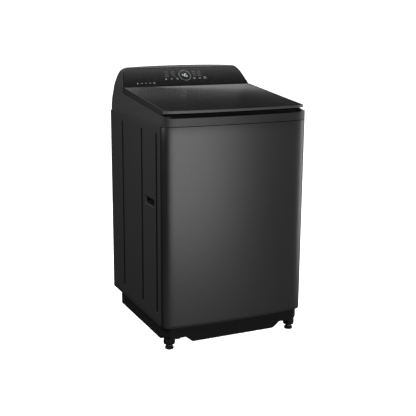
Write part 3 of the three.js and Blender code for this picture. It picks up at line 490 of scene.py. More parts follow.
def outward(obj, direction):
    """Turns an open sheet so that most of it faces the direction."""
    want = Vector(direction)
    if sum(p.normal.dot(want) * p.area for p in obj.data.polygons) < 0:
        obj.data.flip_normals()


GROOVES = [72, 234, 464]
SHEET, SIDE_START = 1.1, front(WRAP)
HANDLE_D, HANDLE_Z, POCKET_Z = 148.0, 599.0, 598.0
GROOVE = {"half": 8.5, "depth": 4.6, "low": 146, "high": 888, "soft": 2.6}


def groove_depth(y, z):
    """How far the sheet is pressed in at a point of the side."""
    g = GROOVE
    best = 0.0
    for d in GROOVES:
        dy = y - front(d)
        zz = min(max(z, g["low"] + g["half"]), g["high"] - g["half"])
        away = math.hypot(dy, z - zz)
        best = max(best, g["depth"] * ease((g["half"] - away) / g["soft"]))
    return best


def takes_groove_shade(poly):
    """Whether a face of the side sheet lies in a groove, where it gets painted shade."""
    centre = poly.center / MM
    return groove_depth(centre.y, centre.z) > 0.8 and abs(poly.normal.x) > 0.05


def thinned(values, gap):
    """The values in order, without those that come too soon after another."""
    ordered = sorted(values)
    kept = [ordered[0]]
    for value in ordered[1:]:
        if value - kept[-1] > gap:
            kept.append(value)
    return kept


def side_columns():
    """The y of each column of the side sheet: close together at the grooves."""
    ys = {round(SIDE_START + 0.4, 2), BACK_Y - R_REAR}
    for d in GROOVES:
        for k in range(-8, 9):
            ys.add(round(front(d) + k * 1.15, 2))
    for k in range(1, 26):
        ys.add(round(SIDE_START + k * 22.5, 2))
    return thinned([y for y in ys if SIDE_START + 0.3 < y <= BACK_Y - R_REAR], 0.9)


def side_rows():
    """The z of each row of the side sheet: close together at the grooves' ends."""
    g = GROOVE
    zs = {PANEL_LOW + 1.0, SEAM - 2.6}
    for base, sign in ((g["low"], 1), (g["high"], -1)):
        for k in range(-1, 12):
            zs.add(base + sign * k * 1.3)
    for k in range(1, 30):
        zs.add(PANEL_LOW + k * 27.5)
    return thinned([z for z in zs if z < SEAM - 2], 1.0)


def build_side_panel(side, name, node):
    """A side sheet with three pressed grooves, rolled edges and the rear corner's flange."""
    ys = side_columns()
    rows = [(3.0, PANEL_LOW + 3.0), (1.5, PANEL_LOW + 0.4), (0.5, PANEL_LOW + 0.1)]
    rows += [(0.0, z) for z in side_rows()]
    rows += [(0.5, SEAM - 0.8), (1.5, SEAM - 0.35), (3.0, SEAM - 0.8)]
    cx, cy = HALF_W - R_REAR, BACK_Y - R_REAR
    corner = arc(cx, cy, R_REAR, 0, PI / 2, 8)[1:]
    rings = []
    for inset, z in rows:
        ring = [(side * (HALF_W - inset - 3.0), ys[0], z), (side * (HALF_W - inset - 0.8), ys[0], z)]
        for y in ys:
            edge = 0.5 if y == ys[0] else 0.0
            ring.append((side * (HALF_W - inset - edge - groove_depth(y, z)), y + edge, z))
        shrunk = (R_REAR - inset) / R_REAR
        ring += [(side * (cx + (x - cx) * shrunk), cy + (y - cy) * shrunk, z) for x, y in corner]
        ring.append((side * (cx - 23.6), BACK_Y - inset, z))
        rings.append(ring)
    obj = make(name, *loft(rings, False, closed=False), 60)
    outward(obj, (side, 0, 0))
    tidy(thicken(obj, SHEET), 60)
    hole = rect(front(HANDLE_D), HANDLE_Z, 58.2, 25.2, 14.2, 8)
    boolean(obj, prism("hole", hole, side * 300, side * 330, "x"))
    finish_piece(tidy(obj, 45), "cabinet", "side", "cabinet_paint", node)
    # Painted shade: the faces in the grooves get the near-black groove shade
    return paint_faces(obj, "groove_shade", takes_groove_shade)


# The cup's rings from the pocket's floor out to its rim and back along its outside: x, half length,
# half height, corner radius and the height of the middle.
CUP = [(292.0, 34.0, 4.6, 3.0, POCKET_Z), (292.4, 39.0, 8.0, 4.6, POCKET_Z),
       (294.0, 40.6, 9.4, 5.4, POCKET_Z), (312.2, 41.6, 10.0, 5.8, POCKET_Z),
       (314.2, 42.2, 10.6, 6.2, POCKET_Z),
       (315.2, 43.4, 12.2, 7.2, POCKET_Z), (316.6, 47.0, 15.4, 8.6, HANDLE_Z - 0.2),
       (319.3, 51.4, 18.6, 9.6, HANDLE_Z), (320.0, 52.6, 19.8, 10.5, HANDLE_Z),
       (320.0, 56.2, 23.2, 12.2, HANDLE_Z), (319.7, 57.3, 24.3, 13.3, HANDLE_Z),
       (318.9, 57.9, 24.9, 13.9, HANDLE_Z), (317.4, 57.8, 24.8, 13.8, HANDLE_Z),
       (314.6, 45.0, 14.2, 9.0, POCKET_Z), (290.2, 43.6, 13.2, 8.0, POCKET_Z)]


def build_handle(side, name, node):
    """The lifting cup: a moulded rim, a sloping upper lip and a deep finger pocket."""
    y = front(HANDLE_D)
    rings = [[(side * x, u, v) for u, v in rect(y, z, long, tall, corner, 8)]
             for x, long, tall, corner, z in CUP]
    obj = finish_piece(make(name, *loft(rings), 60), "cabinet", "side", "black_plastic", node)
    # Painted shade: the faces inside the finger pocket get the near-black groove shade
    return paint_faces(obj, "groove_shade", lambda poly: abs(poly.center.x) < 315.6 * MM)


build_front_panel()
for side, word in ((-1, "left"), (1, "right")):
    build_side_panel(side, f"{word}_side_skin", f"{word}_side_panel")
    build_handle(side, f"{word}_handle_cup", f"handle_{word}")

# ---------------------------------------------------------------- top cover, console and lid
# Heights of the band's top edge and of its corners, then depths behind the front: where the deck
# rises behind the finger recess, and the wall under the console.
BAND, CORNER, STEP, WALL = 949.0, 955.0, 34.0, 495.0
# The deck's and the lid's slopes, and the gap between them.
GAP_FRONT, GAP_D, SLOPE, GAP = 956.3, 9.0, 0.092, 3.0
LID_FRONT, LID_REAR, LID_TOP, TOP_SLOPE = 12.0, 486.0, 977.0, 0.1013
LIP, LIP_DEPTH, GLASS, BORDER, PLAY = 967.0, 44.0, 4.0, 7.0, 0.3
WINDOW_X, WINDOW_FRONT, WINDOW_REAR, WINDOW_R = 268.0, LID_FRONT + 42, LID_REAR - 34, 40.0
# The console's face: its low and high edges as (depth, height), and its thickness.
FACE_LOW, FACE_HIGH, PLATE = (492.0, 1026.0), (561.0, 1098.0), 4.0
HINGE_D, HINGE_Z, HINGE_X = 482.5, 1015.5, 232.0
PIN_R, KNUCKLE_R = 2.8, 5.0
LOCK_X, LOCK_D = 268.0, 130.0
MOUTH_FRONT, MOUTH_REAR, MOUTH_X, MOUTH_R = 58.0, 410.0, 220.0, 110.0
SERVICE = (0, 1014)             # the middle of the service cover, as (x, z)


def deck(d):
    """The height of the deck under the lid."""
    return GAP_FRONT + SLOPE * (d - GAP_D)


def lid_under(d):
    """The height of the lid's underside."""
    return deck(d) + GAP


def lid_top(d):
    """The height of the lid's upper face."""
    return LID_TOP + TOP_SLOPE * (d - LID_FRONT)


def depths(points):
    """(distance behind the front, height) pairs as (y, z)."""
    return [(front(d), z) for d, z in points]


def smooth_line(points, steps):
    """A smooth curve through some points."""
    fine = []
    for i in range(len(points) - 1):
        a, b = points[max(i - 1, 0)], points[i]
        c, d = points[i + 1], points[min(i + 2, len(points) - 1)]
        for k in range(steps):
            t = k / steps
            fine.append(tuple(0.5 * (2 * b[n] + (c[n] - a[n]) * t
                                     + (2 * a[n] - 5 * b[n] + 4 * c[n] - d[n]) * t * t
                                     + (3 * b[n] - a[n] - 3 * c[n] + d[n]) * t ** 3) for n in (0, 1)))
    return fine + [points[-1]]


# The outline's foot, and the height above which it is drawn in from the top as well.
LEAN_LOW, BROW = 880.0, 1093.0


def lean_outline(inset):
    """The upper body seen from the front: leaning sides closing over the console."""
    fine = smooth_line(LEAN, 5)
    right = [(max(min(x, HALF_W) - inset, 0), z - inset if z > BROW else z) for x, z in fine]
    left = [(-x, z) for x, z in right[:-1][::-1]]
    return [(HALF_W - inset, LEAN_LOW)] + right + left + [(-(HALF_W - inset), LEAN_LOW)]


def footprint(inset, rear=30.0):
    """The cover in plan."""
    x, y = HALF_W - inset, BACK_Y - inset
    return (front_line(inset, 0)[:-1] + arc(x - rear, y - rear, rear, 0, PI / 2, 10)
            + arc(-x + rear, y - rear, rear, PI / 2, PI, 10))


def cover_side(inset, low, band):
    """The cover seen from the side, with the deck under the lid and the console behind it."""
    run = math.dist(FACE_LOW, FACE_HIGH)
    along = ((FACE_HIGH[0] - FACE_LOW[0]) / run, (FACE_HIGH[1] - FACE_LOW[1]) / run)
    back = PLATE + 0.3 + inset
    low_end = (FACE_LOW[0] + along[1] * back, FACE_LOW[1] - along[0] * back)
    high_end = (FACE_HIGH[0] + along[1] * back, FACE_HIGH[1] - along[0] * back)
    d = inset
    rear = smooth_line([(576, 1111 - d), (586 - d, 1104.5 - d), (594 - d, 1097.5 - d),
                        (600.5 - d, 1089 - d / 2), (607 - d, 1076), (612 - d, 1060), (617.2 - d, 1020),
                        (622 - d, 968), (625.8 - d, 951), (628.6 - d, 935)], 4)
    near = [(-30, low), (-30, band - d), (STEP - 6 + d, band - d), (STEP + d, deck(STEP) - d)]
    wall = [(WALL + d, deck(LID_REAR) - d), (WALL + d, low_end[1] - 4), low_end, high_end]
    brow = [(FACE_HIGH[0] + 1 + d, FACE_HIGH[1] + 2 - d), (569 + d, 1106 - d)]
    return depths(near + wall + brow + rear + [(628.6 - d, low)])


def span(x0, x1, y0, y1, r, n):
    """A rounded rectangle given by its sides."""
    return rect((x0 + x1) / 2, (y0 + y1) / 2, (x1 - x0) / 2, (y1 - y0) / 2, r, n)


def mouth(grow, low, high):
    """The loading mouth, grown by a distance all round."""
    x, y0, y1 = MOUTH_X + grow, front(MOUTH_FRONT) - grow, front(MOUTH_REAR) + grow
    return prism("mouth", span(-x, x, y0, y1, MOUTH_R + grow, 14), low, high)


def block(x, y, z):
    """A block given by its sides."""
    return prism("block", [(x[0], y[0]), (x[1], y[0]), (x[1], y[1]), (x[0], y[1])], z[0], z[1])


def bar(radius, x0, x1, y, z):
    """A round bar along x."""
    return prism("bar", circle(radius, 32, y, z), x0, x1, "x")


def bar_y(radius, y0, y1, x, z):
    """A round bar along y."""
    return prism("bar", circle(radius, 40, x, z), y0, y1, "y")


def within_sides(obj, inset):
    """Keeps what lies between the leaning sides."""
    sides = prism("lean", lean_outline(inset), FRONT_Y - 40, BACK_Y + 10, "y")
    return boolean(obj, sides, "INTERSECT")


def upper_body(inset, low, band, rear=30.0):
    """The three outlines of the upper body, kept where they all agree."""
    body = within_sides(prism("body", cover_side(inset, low, band), -330, 330, "x"), inset)
    return boolean(body, prism("plan", footprint(inset, rear), low, 1200), "INTERSECT")


def finger_recess():
    """The dip along the front edge that lets fingers in under the lid."""
    dip = prism("dip", depths([(-30, BAND), (STEP - 6, BAND), (STEP, deck(STEP)), (STEP, 1000), (-30, 1000)]),
                -320, 320, "x")
    across = [(-284, BAND), (284, BAND), (299, CORNER + 2), (299, 1000), (-299, 1000), (-299, CORNER + 2)]
    return boolean(dip, prism("across", across, FRONT_Y - 40, front(STEP + 2), "y"), "INTERSECT")


def hinge_foot(side):
    """The moulded foot at the back of the deck that holds one hinge pin."""
    x, y = side * HINGE_X, front(HINGE_D)
    foot = block((x - 12, x + 12), (y - 5, front(WALL) + 1), (deck(HINGE_D) - 2, HINGE_Z - 6))
    neck = block((x - 12, x + 12), (y - 5, y + 5.5), (HINGE_Z - 7, HINGE_Z))
    boolean(foot, neck, "UNION")
    boolean(foot, bar(KNUCKLE_R, x - 12, x + 12, y, HINGE_Z), "UNION")
    return boolean(foot, bar(PIN_R, x - 30, x + 30, y, HINGE_Z))


def service_window(half_x, half_z, corner, near):
    """The opening in the console's back, or what fills it."""
    return prism("service", rect(*SERVICE, half_x, half_z, corner, 5), front(near), front(640), "y")


def in_band(poly):
    """Whether a face of the cover lies in the band across its front."""
    return poly.center.y < front(WRAP) * MM and poly.center.z > (SEAM - 6) * MM


def build_top_cover():
    """The moulded cover: band, finger recess, deck, loading mouth and console housing."""
    shell = boolean(upper_body(0, SEAM, CORNER), finger_recess())
    shell = bevel(shell, 1.6, 30, 3)
    boolean(shell, upper_body(3, SEAM - 20, BAND, 27))
    under = prism("under", cover_side(PLAY, 890, BAND), -330, 330, "x")
    boolean(shell, boolean(mouth(3, 900, 1200), under, "INTERSECT"), "UNION")
    boolean(shell, mouth(0, 890, 1250))
    for side in (-1, 1):
        boolean(shell, hinge_foot(side), "UNION")
    boolean(shell, prism("strike", rect(LOCK_X, front(LOCK_D), 6, 11, 2.5, 4), 940, 990))
    boolean(shell, block((-109, 29), (front(MOUTH_REAR) - 4, front(MOUTH_REAR) + 8), (943, 985)))
    boolean(shell, service_window(238, 42, 6, 600))
    bevel(shell, 0.8, 55, 2)
    even_normals(finish_piece(shell, "cabinet", "cover", "cover_plastic", "top_cover"))
    shell.name = "moulded_top_cover"
    # The band's front faces take its metallic paint; its up-facing ledge faces under the lid take the same
    # lighter material as painted light where shade falls
    paint_faces(shell, "band", lambda poly: in_band(poly) and (poly.normal.y < -0.25 or poly.normal.z > 0.3))
    # Painted highlight: the band's top-front bevel faces get the light edge highlight material
    paint_faces(shell, "edge_highlight", lambda poly: in_band(poly) and poly.normal.y < -0.2 and poly.normal.z > 0.2)


def build_console_face():
    """The glass of the touch console, let into the sloping face."""
    run = math.dist(FACE_LOW, FACE_HIGH)
    n = ((FACE_HIGH[1] - FACE_LOW[1]) / run * PLATE, -(FACE_HIGH[0] - FACE_LOW[0]) / run * PLATE)
    outer = [(d + n[0], z + n[1]) for d, z in (FACE_HIGH, FACE_LOW)]
    face = within_sides(prism("face", depths([FACE_LOW, FACE_HIGH] + outer), -HALF_W, HALF_W, "x"), 1.0)
    bevel(face, 0.9, 30, 3)
    finish_piece(face, "cabinet", "face", "black_glass", "console_face")
    even_normals(face).name = "console_touch_panel"


def build_rear_cover():
    """The service cover at the back of the console, with louvres."""
    skin = prism("skin", cover_side(0, SEAM, BAND), -237, 237, "x")
    boolean(skin, prism("inner", cover_side(3, SEAM - 20, BAND), -250, 250, "x"))
    boolean(skin, service_window(237.2, 41.2, 5.6, 603), "INTERSECT")
    bevel(skin, 0.6, 40, 2)
    for k in range(3 * 14):
        louvre = rect(-162 + k % 14 * 25, 998 + k // 14 * 13, 8.5, 2.2, 2.1, 4)
        boolean(skin, prism("louvre", louvre, front(590), front(640), "y"))
    finish_piece(skin, "cabinet", "cover", "cover_plastic", "console_rear_cover")
    even_normals(skin).name = "console_service_cover"


def lid_plan(inset, rear):
    """The lid in plan: the cover's bowed front set back, and a straight rear edge."""
    line = front_line(0, front(rear), 24, 20)
    out = []
    for x, y in line:
        u = math.copysign(max(abs(x) - inset, 0), x)
        out.append((u, y + LID_FRONT + inset if y < front(R_FRONT + 2) else y))
    return out


def lid_window(grow, n):
    """The opening in the lid's rim that shows the glass, grown by a distance all round."""
    x, y0, y1 = WINDOW_X + grow, front(WINDOW_FRONT) - grow, front(WINDOW_REAR) + grow
    return span(-x, x, y0, y1, WINDOW_R + grow, n)


def lid_slab(low, high, margin, rear):
    """A slab between two heights, functions of the depth, drawn in from the lid's outline by a margin."""
    reach = (-20, 500)
    side = [(d, low(d)) for d in reach] + [(d, high(d)) for d in reach[::-1]]
    slab = within_sides(prism("slab", depths(side), -HALF_W, HALF_W, "x"), margin)
    return boolean(slab, prism("plan", lid_plan(margin, rear), 900, 1100), "INTERSECT")


def lock_tab():
    """The tab under the lid with the hole for the lock's bolt."""
    y, under = front(LOCK_D), lid_under(LOCK_D)
    tab = prism("tab", rect(LOCK_X, y, 3, 7, 1.2, 3), under - 24, under + 3)
    return boolean(tab, block((LOCK_X - 10, LOCK_X + 10), (y - 3.6, y + 3.6), (under - 21, under - 14)))


def build_lid_rim():
    """The lid's moulded rim, with its lip, glass pocket, window, hinge pockets and lock tab."""
    nose, top = LID_FRONT - 16, lid_top(LID_FRONT)
    side = depths([(LID_FRONT, top), (nose, top - 1), (nose, LIP), (LID_FRONT + 2, LIP),
                   (LIP_DEPTH, lid_under(LIP_DEPTH)), (LID_REAR, lid_under(LID_REAR)),
                   (LID_REAR, lid_top(LID_REAR))])
    rim = within_sides(prism("rim", side, -HALF_W, HALF_W, "x"), 0)
    boolean(rim, prism("plan", lid_plan(0, LID_REAR), 900, 1100), "INTERSECT")
    bevel(rim, 2.0, 30, 4)
    margin = BORDER - PLAY
    boolean(rim, lid_slab(lambda d: lid_top(d) - GLASS - PLAY, lambda d: 1100, margin, LID_REAR - margin))
    boolean(rim, prism("window", lid_window(0, 10), 900, 1100))
    for x in (-HINGE_X, HINGE_X):
        y = front(HINGE_D)
        boolean(rim, block((x - 15, x + 15), (y - 12, y + 20), (990, 1023.2)))
        boolean(rim, bar(PIN_R, x - 27, x + 27, y, HINGE_Z))
    boolean(rim, lock_tab(), "UNION")
    tidy(rim, 40)
    finish_piece(rim, "lid", "trim", "lid_trim", "lid_frame")
    even_normals(rim).name = "lid_rim"
    # Painted highlight: the lower front faces of the lid's rim get the light edge highlight material as a
    # thin bright line
    paint_faces(rim, "edge_highlight", lambda poly: poly.normal.y < -0.2 and poly.center.y < front(WRAP) * MM
                and poly.center.z < (LIP + 7) * MM)


def build_lid_pane():
    """The lid's black glass."""
    pane = lid_slab(lambda d: lid_top(d) - GLASS, lid_top, BORDER, LID_REAR - BORDER)
    bevel(pane, 0.6, 30, 3)
    finish_piece(pane, "lid", "glass", "black_glass", "lid_glass")
    even_normals(pane).name = "lid_pane"


def build_lid_seal():
    """The rubber seal round the window, seen on the underside of the open lid."""
    profile = ((1.5, 0.0), (1.5, -1.6), (0.6, -2.4), (-1.2, -2.4), (-2.2, -1.6), (-2.6, 4.0))
    rings = [[(x, y, lid_under(y - FRONT_Y) + up) for x, y in lid_window(grow, 12)] for grow, up in profile]
    seal = thicken(make("lid_window_seal", *loft(rings, False), 50), 0.8, 0)
    finish_piece(seal, "lid", "rubber", "rubber")


# ---------------------------------------------------------------- marks on the console
def face_point(x, s, lift=0.0):
    """A point on the console face: x across, s up the slope, lift out of it."""
    run = math.dist(FACE_LOW, FACE_HIGH)
    u = ((FACE_HIGH[0] - FACE_LOW[0]) / run, (FACE_HIGH[1] - FACE_LOW[1]) / run)
    return (x, front(FACE_LOW[0] + u[0] * s - u[1] * lift), FACE_LOW[1] + u[1] * s + u[0] * lift)


def flat_mark(outline, lift=0.12):
    """A thin printed mark with an outline in (x, slope) terms."""
    count = len(outline)
    verts = [face_point(x, s, lift) for x, s in outline] + [face_point(x, s, -0.4) for x, s in outline]
    faces = [tuple(range(count)), tuple(range(2 * count - 1, count - 1, -1))]
    faces += [(i, (i + 1) % count, (i + 1) % count + count, i + count) for i in range(count)]
    return verts, faces


def ring_mark(x, s, radius, width, start=0.0, end=2 * PI, n=24):
    """A printed ring, or a part of one."""
    outer = arc(x, s, radius, start, end, n)
    inner = arc(x, s, radius - width, end, start, n)
    return gather(flat_mark([outer[i], outer[i + 1], inner[n - i - 1], inner[n - i]]) for i in range(n))


# Each segment of a lit number runs between two corners, as (across, up) from 0 to (1, 2).
SEGMENTS = {"top": (0, 2, 1, 2), "right high": (1, 1, 1, 2), "right low": (1, 0, 1, 1),
            "bottom": (0, 0, 1, 0), "left high": (0, 1, 0, 2), "middle": (0, 1, 1, 1)}
DIGITS = {"4": ("left high", "middle", "right high", "right low"),
          "5": ("top", "left high", "middle", "right low", "bottom")}
DIGIT_W, DIGIT_H, DIGIT_GAP, DIGIT_BAR = 9.5, 16.0, 2.6, 2.8


def segment(a, b, h):
    """A bar from one point to another, pointed at both ends."""
    (x0, s0), (x1, s1) = a, b
    if s0 == s1:
        return [(x0 + h, s0 - h), (x1 - h, s0 - h), (x1, s0), (x1 - h, s0 + h), (x0 + h, s0 + h), (x0, s0)]
    return [(x0 + h, s0 + h), (x0 + h, s1 - h), (x0, s1), (x0 - h, s1 - h), (x0 - h, s0 + h), (x0, s0)]


def digit_marks(text, x, s):
    """Seven-segment numbers."""
    out = []
    for k, char in enumerate(text):
        left = x + k * (DIGIT_W + DIGIT_GAP)
        for name in DIGITS[char]:
            u0, v0, u1, v1 = SEGMENTS[name]
            a = (left + u0 * DIGIT_W, s + v0 * DIGIT_H / 2)
            b = (left + u1 * DIGIT_W, s + v1 * DIGIT_H / 2)
            out.append(flat_mark(segment(a, b, DIGIT_BAR / 2), 0.16))
    return out


def marks_object(name, shapes, material):
    """One piece from some marks."""
    return finish_piece(make(name, *gather(shapes), 30), "cabinet", material, "black_glass")


def stroke(x, s, half_x, half_s, corner, n=2):
    """A short rounded bar in a picture."""
    return flat_mark(rect(x, s, half_x, half_s, corner, n))


def icon(kind, x, s, r):
    """One small generic picture: a drop, bars, a clock, a power sign, a start sign, a tub or a dash."""
    if kind == "drop":
        bowl = arc(x, s - r * 0.35, r * 0.62, PI * 0.85, PI * 2.15, 12)[1:-1]
        return [flat_mark([(x, s + r), (x - r * 0.62, s - r * 0.1)] + bowl + [(x + r * 0.62, s - r * 0.1)])]
    if kind == "bars":
        return [stroke(x, s + k * r * 0.66, r, r * 0.14, r * 0.1) for k in (-1, 0, 1)]
    if kind == "clock":
        return [ring_mark(x, s, r, r * 0.2), stroke(x, s + r * 0.28, r * 0.09, r * 0.34, r * 0.05),
                stroke(x + r * 0.2, s, r * 0.28, r * 0.09, r * 0.05)]
    if kind == "power":
        return [ring_mark(x, s, r, r * 0.24, PI * 0.68, PI * 2.32),
                stroke(x, s + r * 0.62, r * 0.13, r * 0.5, r * 0.1)]
    if kind == "start":
        arrow = [(x - r * 0.7, s - r * 0.8), (x + r * 0.1, s), (x - r * 0.7, s + r * 0.8)]
        return [flat_mark(arrow)] + [stroke(x + r * k, s, r * 0.12, r * 0.8, r * 0.1) for k in (0.5, 0.95)]
    if kind == "tub":
        return [ring_mark(x, s - r * 0.1, r * 0.8, r * 0.18, PI, 2 * PI, 16),
                stroke(x, s + r * 0.1, r, r * 0.1, r * 0.08),
                stroke(x, s + r * 0.62, r * 0.5, r * 0.1, r * 0.08)]
    return [stroke(x, s, r, r * 0.22, r * 0.15, 3)]


# Places on the console's face in millimetres: across from its middle, and up its slope.
DIAL_X, DIAL_S, DIAL_R, DIAL_LINE = 1.0, 56.0, 28.4, 1.0
TICKS, TICK_IN, TICK_OUT, TICK_HALF = 24, 21.4, 24.4, 0.012
LISTS, ROWS, LIST_DASH = [-90.0, -58.0, 44.0, 68.0], (54.0, 66.0, 77.0), 9.0
KEYS = [("drop", -94.0), ("tub", -67.0), ("clock", -40.0), ("bars", 42.0), ("start", 68.0)]
KEY_S, POWER = 38.0, (95.0, 40.0)
INDICATORS = ("drop", "dash", "dash", "dash", "bars")
INDICATOR_X, INDICATOR_GAP, INDICATOR_S = -233.0, 19.5, 18
LIST_SIZE, DASH_SIZE, KEY_SIZE, POWER_SIZE, INDICATOR_SIZE = 3.6, 5.0, 4.6, 6.2, 3.8


def build_marks():
    """The ring with its lit minutes, the touch keys and the faint lists beside them."""
    faint, keys = [], []
    corners = ((TICK_IN, -TICK_HALF), (TICK_OUT, -TICK_HALF), (TICK_OUT, TICK_HALF), (TICK_IN, TICK_HALF))
    for k in range(TICKS):
        a = 2 * PI * k / TICKS
        tick = [(DIAL_X + r * math.cos(a + t), DIAL_S + r * math.sin(a + t)) for r, t in corners]
        faint.append(flat_mark(tick))
    for row, s in enumerate(ROWS):
        for col, x in enumerate(LISTS):
            faint += icon(("bars", "tub", "clock", "drop")[(row + col) % 4], x, s, LIST_SIZE)
            faint += icon("dash", x + LIST_DASH, s, DASH_SIZE)
    for kind, x in KEYS:
        keys += icon(kind, x, KEY_S, KEY_SIZE)
    keys += icon("power", *POWER, POWER_SIZE)
    for k, kind in enumerate(INDICATORS):
        keys += icon(kind, INDICATOR_X + k * INDICATOR_GAP, INDICATOR_S, INDICATOR_SIZE)
    marks_object("dial_ring", [ring_mark(DIAL_X, DIAL_S, DIAL_R, DIAL_LINE, n=72)], "mark")
    marks_object("minute_digits", digit_marks("45", DIAL_X - 11.6, DIAL_S - 7.5), "lit")
    marks_object("key_marks", keys, "mark")
    marks_object("indicator_marks", faint, "faint")


build_top_cover()
build_console_face()
build_rear_cover()
build_lid_rim()
build_lid_pane()
build_lid_seal()
build_marks()

# ---------------------------------------------------------------- base and feet
FEET = {"front_left": (-281.0, front(39), 28.0), "front_right": (281.0, front(39), 28.0),
        "rear_left": (-250.0, front(552), 24.0), "rear_right": (250.0, front(552), 24.0)}


def boss(x, y, wide):
    """A tapered leg boss with the collar that the foot screws up into."""
    neck, low, rise = 22.6, 45, 16
    profile = [(6.4, 97), (6.4, 22), (20.5, 22), (neck, 22.8), (23.8, 25), (24, 28), (24, 39), (23, 42.5)]
    profile += [(neck + (wide - neck) * ease(t), low + rise * t) for t in (0, 0.25, 0.5, 0.75, 1)]
    return lathe("boss", profile + [(wide, 97)], x, y, 48, closed=True)


def build_base():
    """The moulded base: a ring with cut-away front corners, a shaped skirt and four leg bosses."""
    near, far = front(10), front(578)
    body = prism("base", span(-306, 306, near, far, 34, 12), 33, 97.7, edge=2.4)
    boolean(body, prism("inner", span(-272, 272, near + 48, far - 42, 20, 6), 20, 110))
    boolean(body, block((-400, 400), (near - 5, front(76)), (10, 50)))
    outline = [(-188, 25, 6), (188, 25, 6), (219, 49, 7), (219, 72, 1), (-219, 72, 1), (-219, 49, 7)]
    skirt = prism("skirt", rounded_closed(outline, 6, 4), near, near + 14, "y", edge=2.0)
    boolean(body, skirt, "UNION")
    for s in (-1, 1):
        boolean(body, block((s * 262 - 20, s * 262 + 20), (near + 6, front(70)), (44, 60)), "UNION")
    for x, y, wide in FEET.values():
        boolean(body, boss(x, y, wide), "UNION")
        boolean(body, prism("bore", rect(x, y, 6.3, 6.3, 6.2, 6), 0, 86))
    for k in range(9):
        x = -200 + k * 50
        boolean(body, block((x - 1.2, x + 1.2), (near + 13, front(34)), (52, 90)), "UNION")
    bevel(body, 0.8, 55, 2)
    finish_piece(body, "cabinet", "black", "black_plastic", "base_frame")
    even_normals(body).name = "base_moulding"


def foot_thread(turns, start, pitch):
    """The profile of a foot's threaded stem."""
    profile = [(0.01, 19.5), (5.2, 19.5)]
    for k in range(turns):
        z = start + k * pitch
        profile += [(5.2, z), (6.0, z + 0.55), (6.0, z + 0.95), (5.2, z + 1.5)]
    return profile + [(4.4, 82), (0.01, 82)]


def build_foot(corner):
    """A levelling foot: rubber-soled pad, hexagon and threaded stem."""
    x, y = FEET[corner][:2]
    pad = [(0.01, 0), (13, 0), (14, 0.8), (15.5, 0.8), (16.4, 0.2), (17.4, 0.8), (18, 2.4), (18, 4.2),
           (17.5, 4.8), (18, 5.4), (18, 8.4), (17.2, 10.2), (14, 11.6), (10.8, 12.2), (0.01, 12.2)]
    sole = lathe("sole", pad, x, y, 56)
    hexagon = arc(x, y, 10, PI / 6, PI / 6 + 5 * PI / 3, 5)
    nut = bevel(prism("nut", hexagon, 12.0, 20.0), 0.7, 30, 2)
    stem = lathe("stem", foot_thread(34, 20, 1.8), x, y, 24)
    dress(sole, "rubber")
    dress(nut, "zinc")
    dress(stem, "zinc")
    foot = join(f"levelling_foot_{corner}", [sole, nut, stem])
    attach(foot, f"foot_{corner}")
    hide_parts(f"foot_{corner}")


build_base()
for corner in FEET:
    build_foot(corner)

# ---------------------------------------------------------------- back of the cabinet
# The back's rim, its pressed pan and beads, and the middles of its openings as (x, z).
RIM_Y = 319.5
PAN = {"x": 272.0, "low": 170.0, "high": 896.0, "deep": 22.0, "round": 24.0, "slope": 13.0}
BEADS = [-186.0, -62.0, 62.0, 186.0]
BEAD = {"half": 15.0, "low": 236.0, "high": 716.0, "rise": 6.0}
DRAIN, COLD, HOT, GLAND = (-236.0, 862.0), (146.0, 866.0), (190.0, 866.0), (236.0, 800.0)


def pan_depth(x, z):
    """How far the back sheet lies in front of its rim at a point."""
    mid, half = (PAN["low"] + PAN["high"]) / 2, (PAN["high"] - PAN["low"]) / 2
    dx = abs(x) - (PAN["x"] - PAN["round"])
    dz = abs(z - mid) - (half - PAN["round"])
    dist = math.hypot(max(dx, 0), max(dz, 0)) + min(max(dx, dz), 0) - PAN["round"]
    depth = PAN["deep"] * ease(-dist / PAN["slope"])
    zz = min(max(z, BEAD["low"] + BEAD["half"]), BEAD["high"] - BEAD["half"])
    away = min(math.hypot(x - bead, z - zz) for bead in BEADS)
    return depth - BEAD["rise"] * ease((BEAD["half"] - away) / 8)


def stations(low, high, coarse, fine, zones):
    """Places along a line: close together in the zones, far apart elsewhere."""
    out, at = [low], low
    while at < high:
        step = fine if any(a - fine <= at <= b for a, b in zones) else coarse
        nearest = min([a for a, b in zones if a > at + 0.01] + [high])
        at = min(at + step, max(nearest, at + fine), high)
        out.append(at)
    return out


def build_back_panel():
    """The galvanised back: a pressed pan with beads, vents and the holes for the connections."""
    zones = [(b - 16, b + 16) for b in BEADS] + [(-273, -246), (246, 273)]
    xs = stations(-305.0, 305.0, 14, 2.0, zones)
    low, high = BEAD["low"], BEAD["high"]
    zones = [(169, 196), (870, 897), (low - 1, low + 16), (high - 16, high + 1)]
    zs = stations(100.4, 915.6, 24, 2.2, zones)
    rings = [[(x, RIM_Y - pan_depth(x, z), z) for x in xs] for z in zs]
    sheet = make("back_sheet", *loft(rings, False, closed=False), 60)
    outward(sheet, (0, 1, 0))
    tidy(thicken(sheet, SHEET), 60)
    for (x, z), radius in ((DRAIN, 13.6), (COLD, 13.6), (HOT, 13.6), (GLAND, 11.4)):
        boolean(sheet, bar_y(radius, 280, 330, x, z))
    for k in range(2 * 8):
        vent = rect(-105 + k % 8 * 30, 752 + k // 8 * 15, 10, 2.4, 2.3, 4)
        boolean(sheet, prism("vent", vent, 280, 330, "y"))
    finish_piece(tidy(sheet, 45), "cabinet", "galvanised", "zinc_plate", "back_panel")
    sheet.name = "pressed_back_panel"


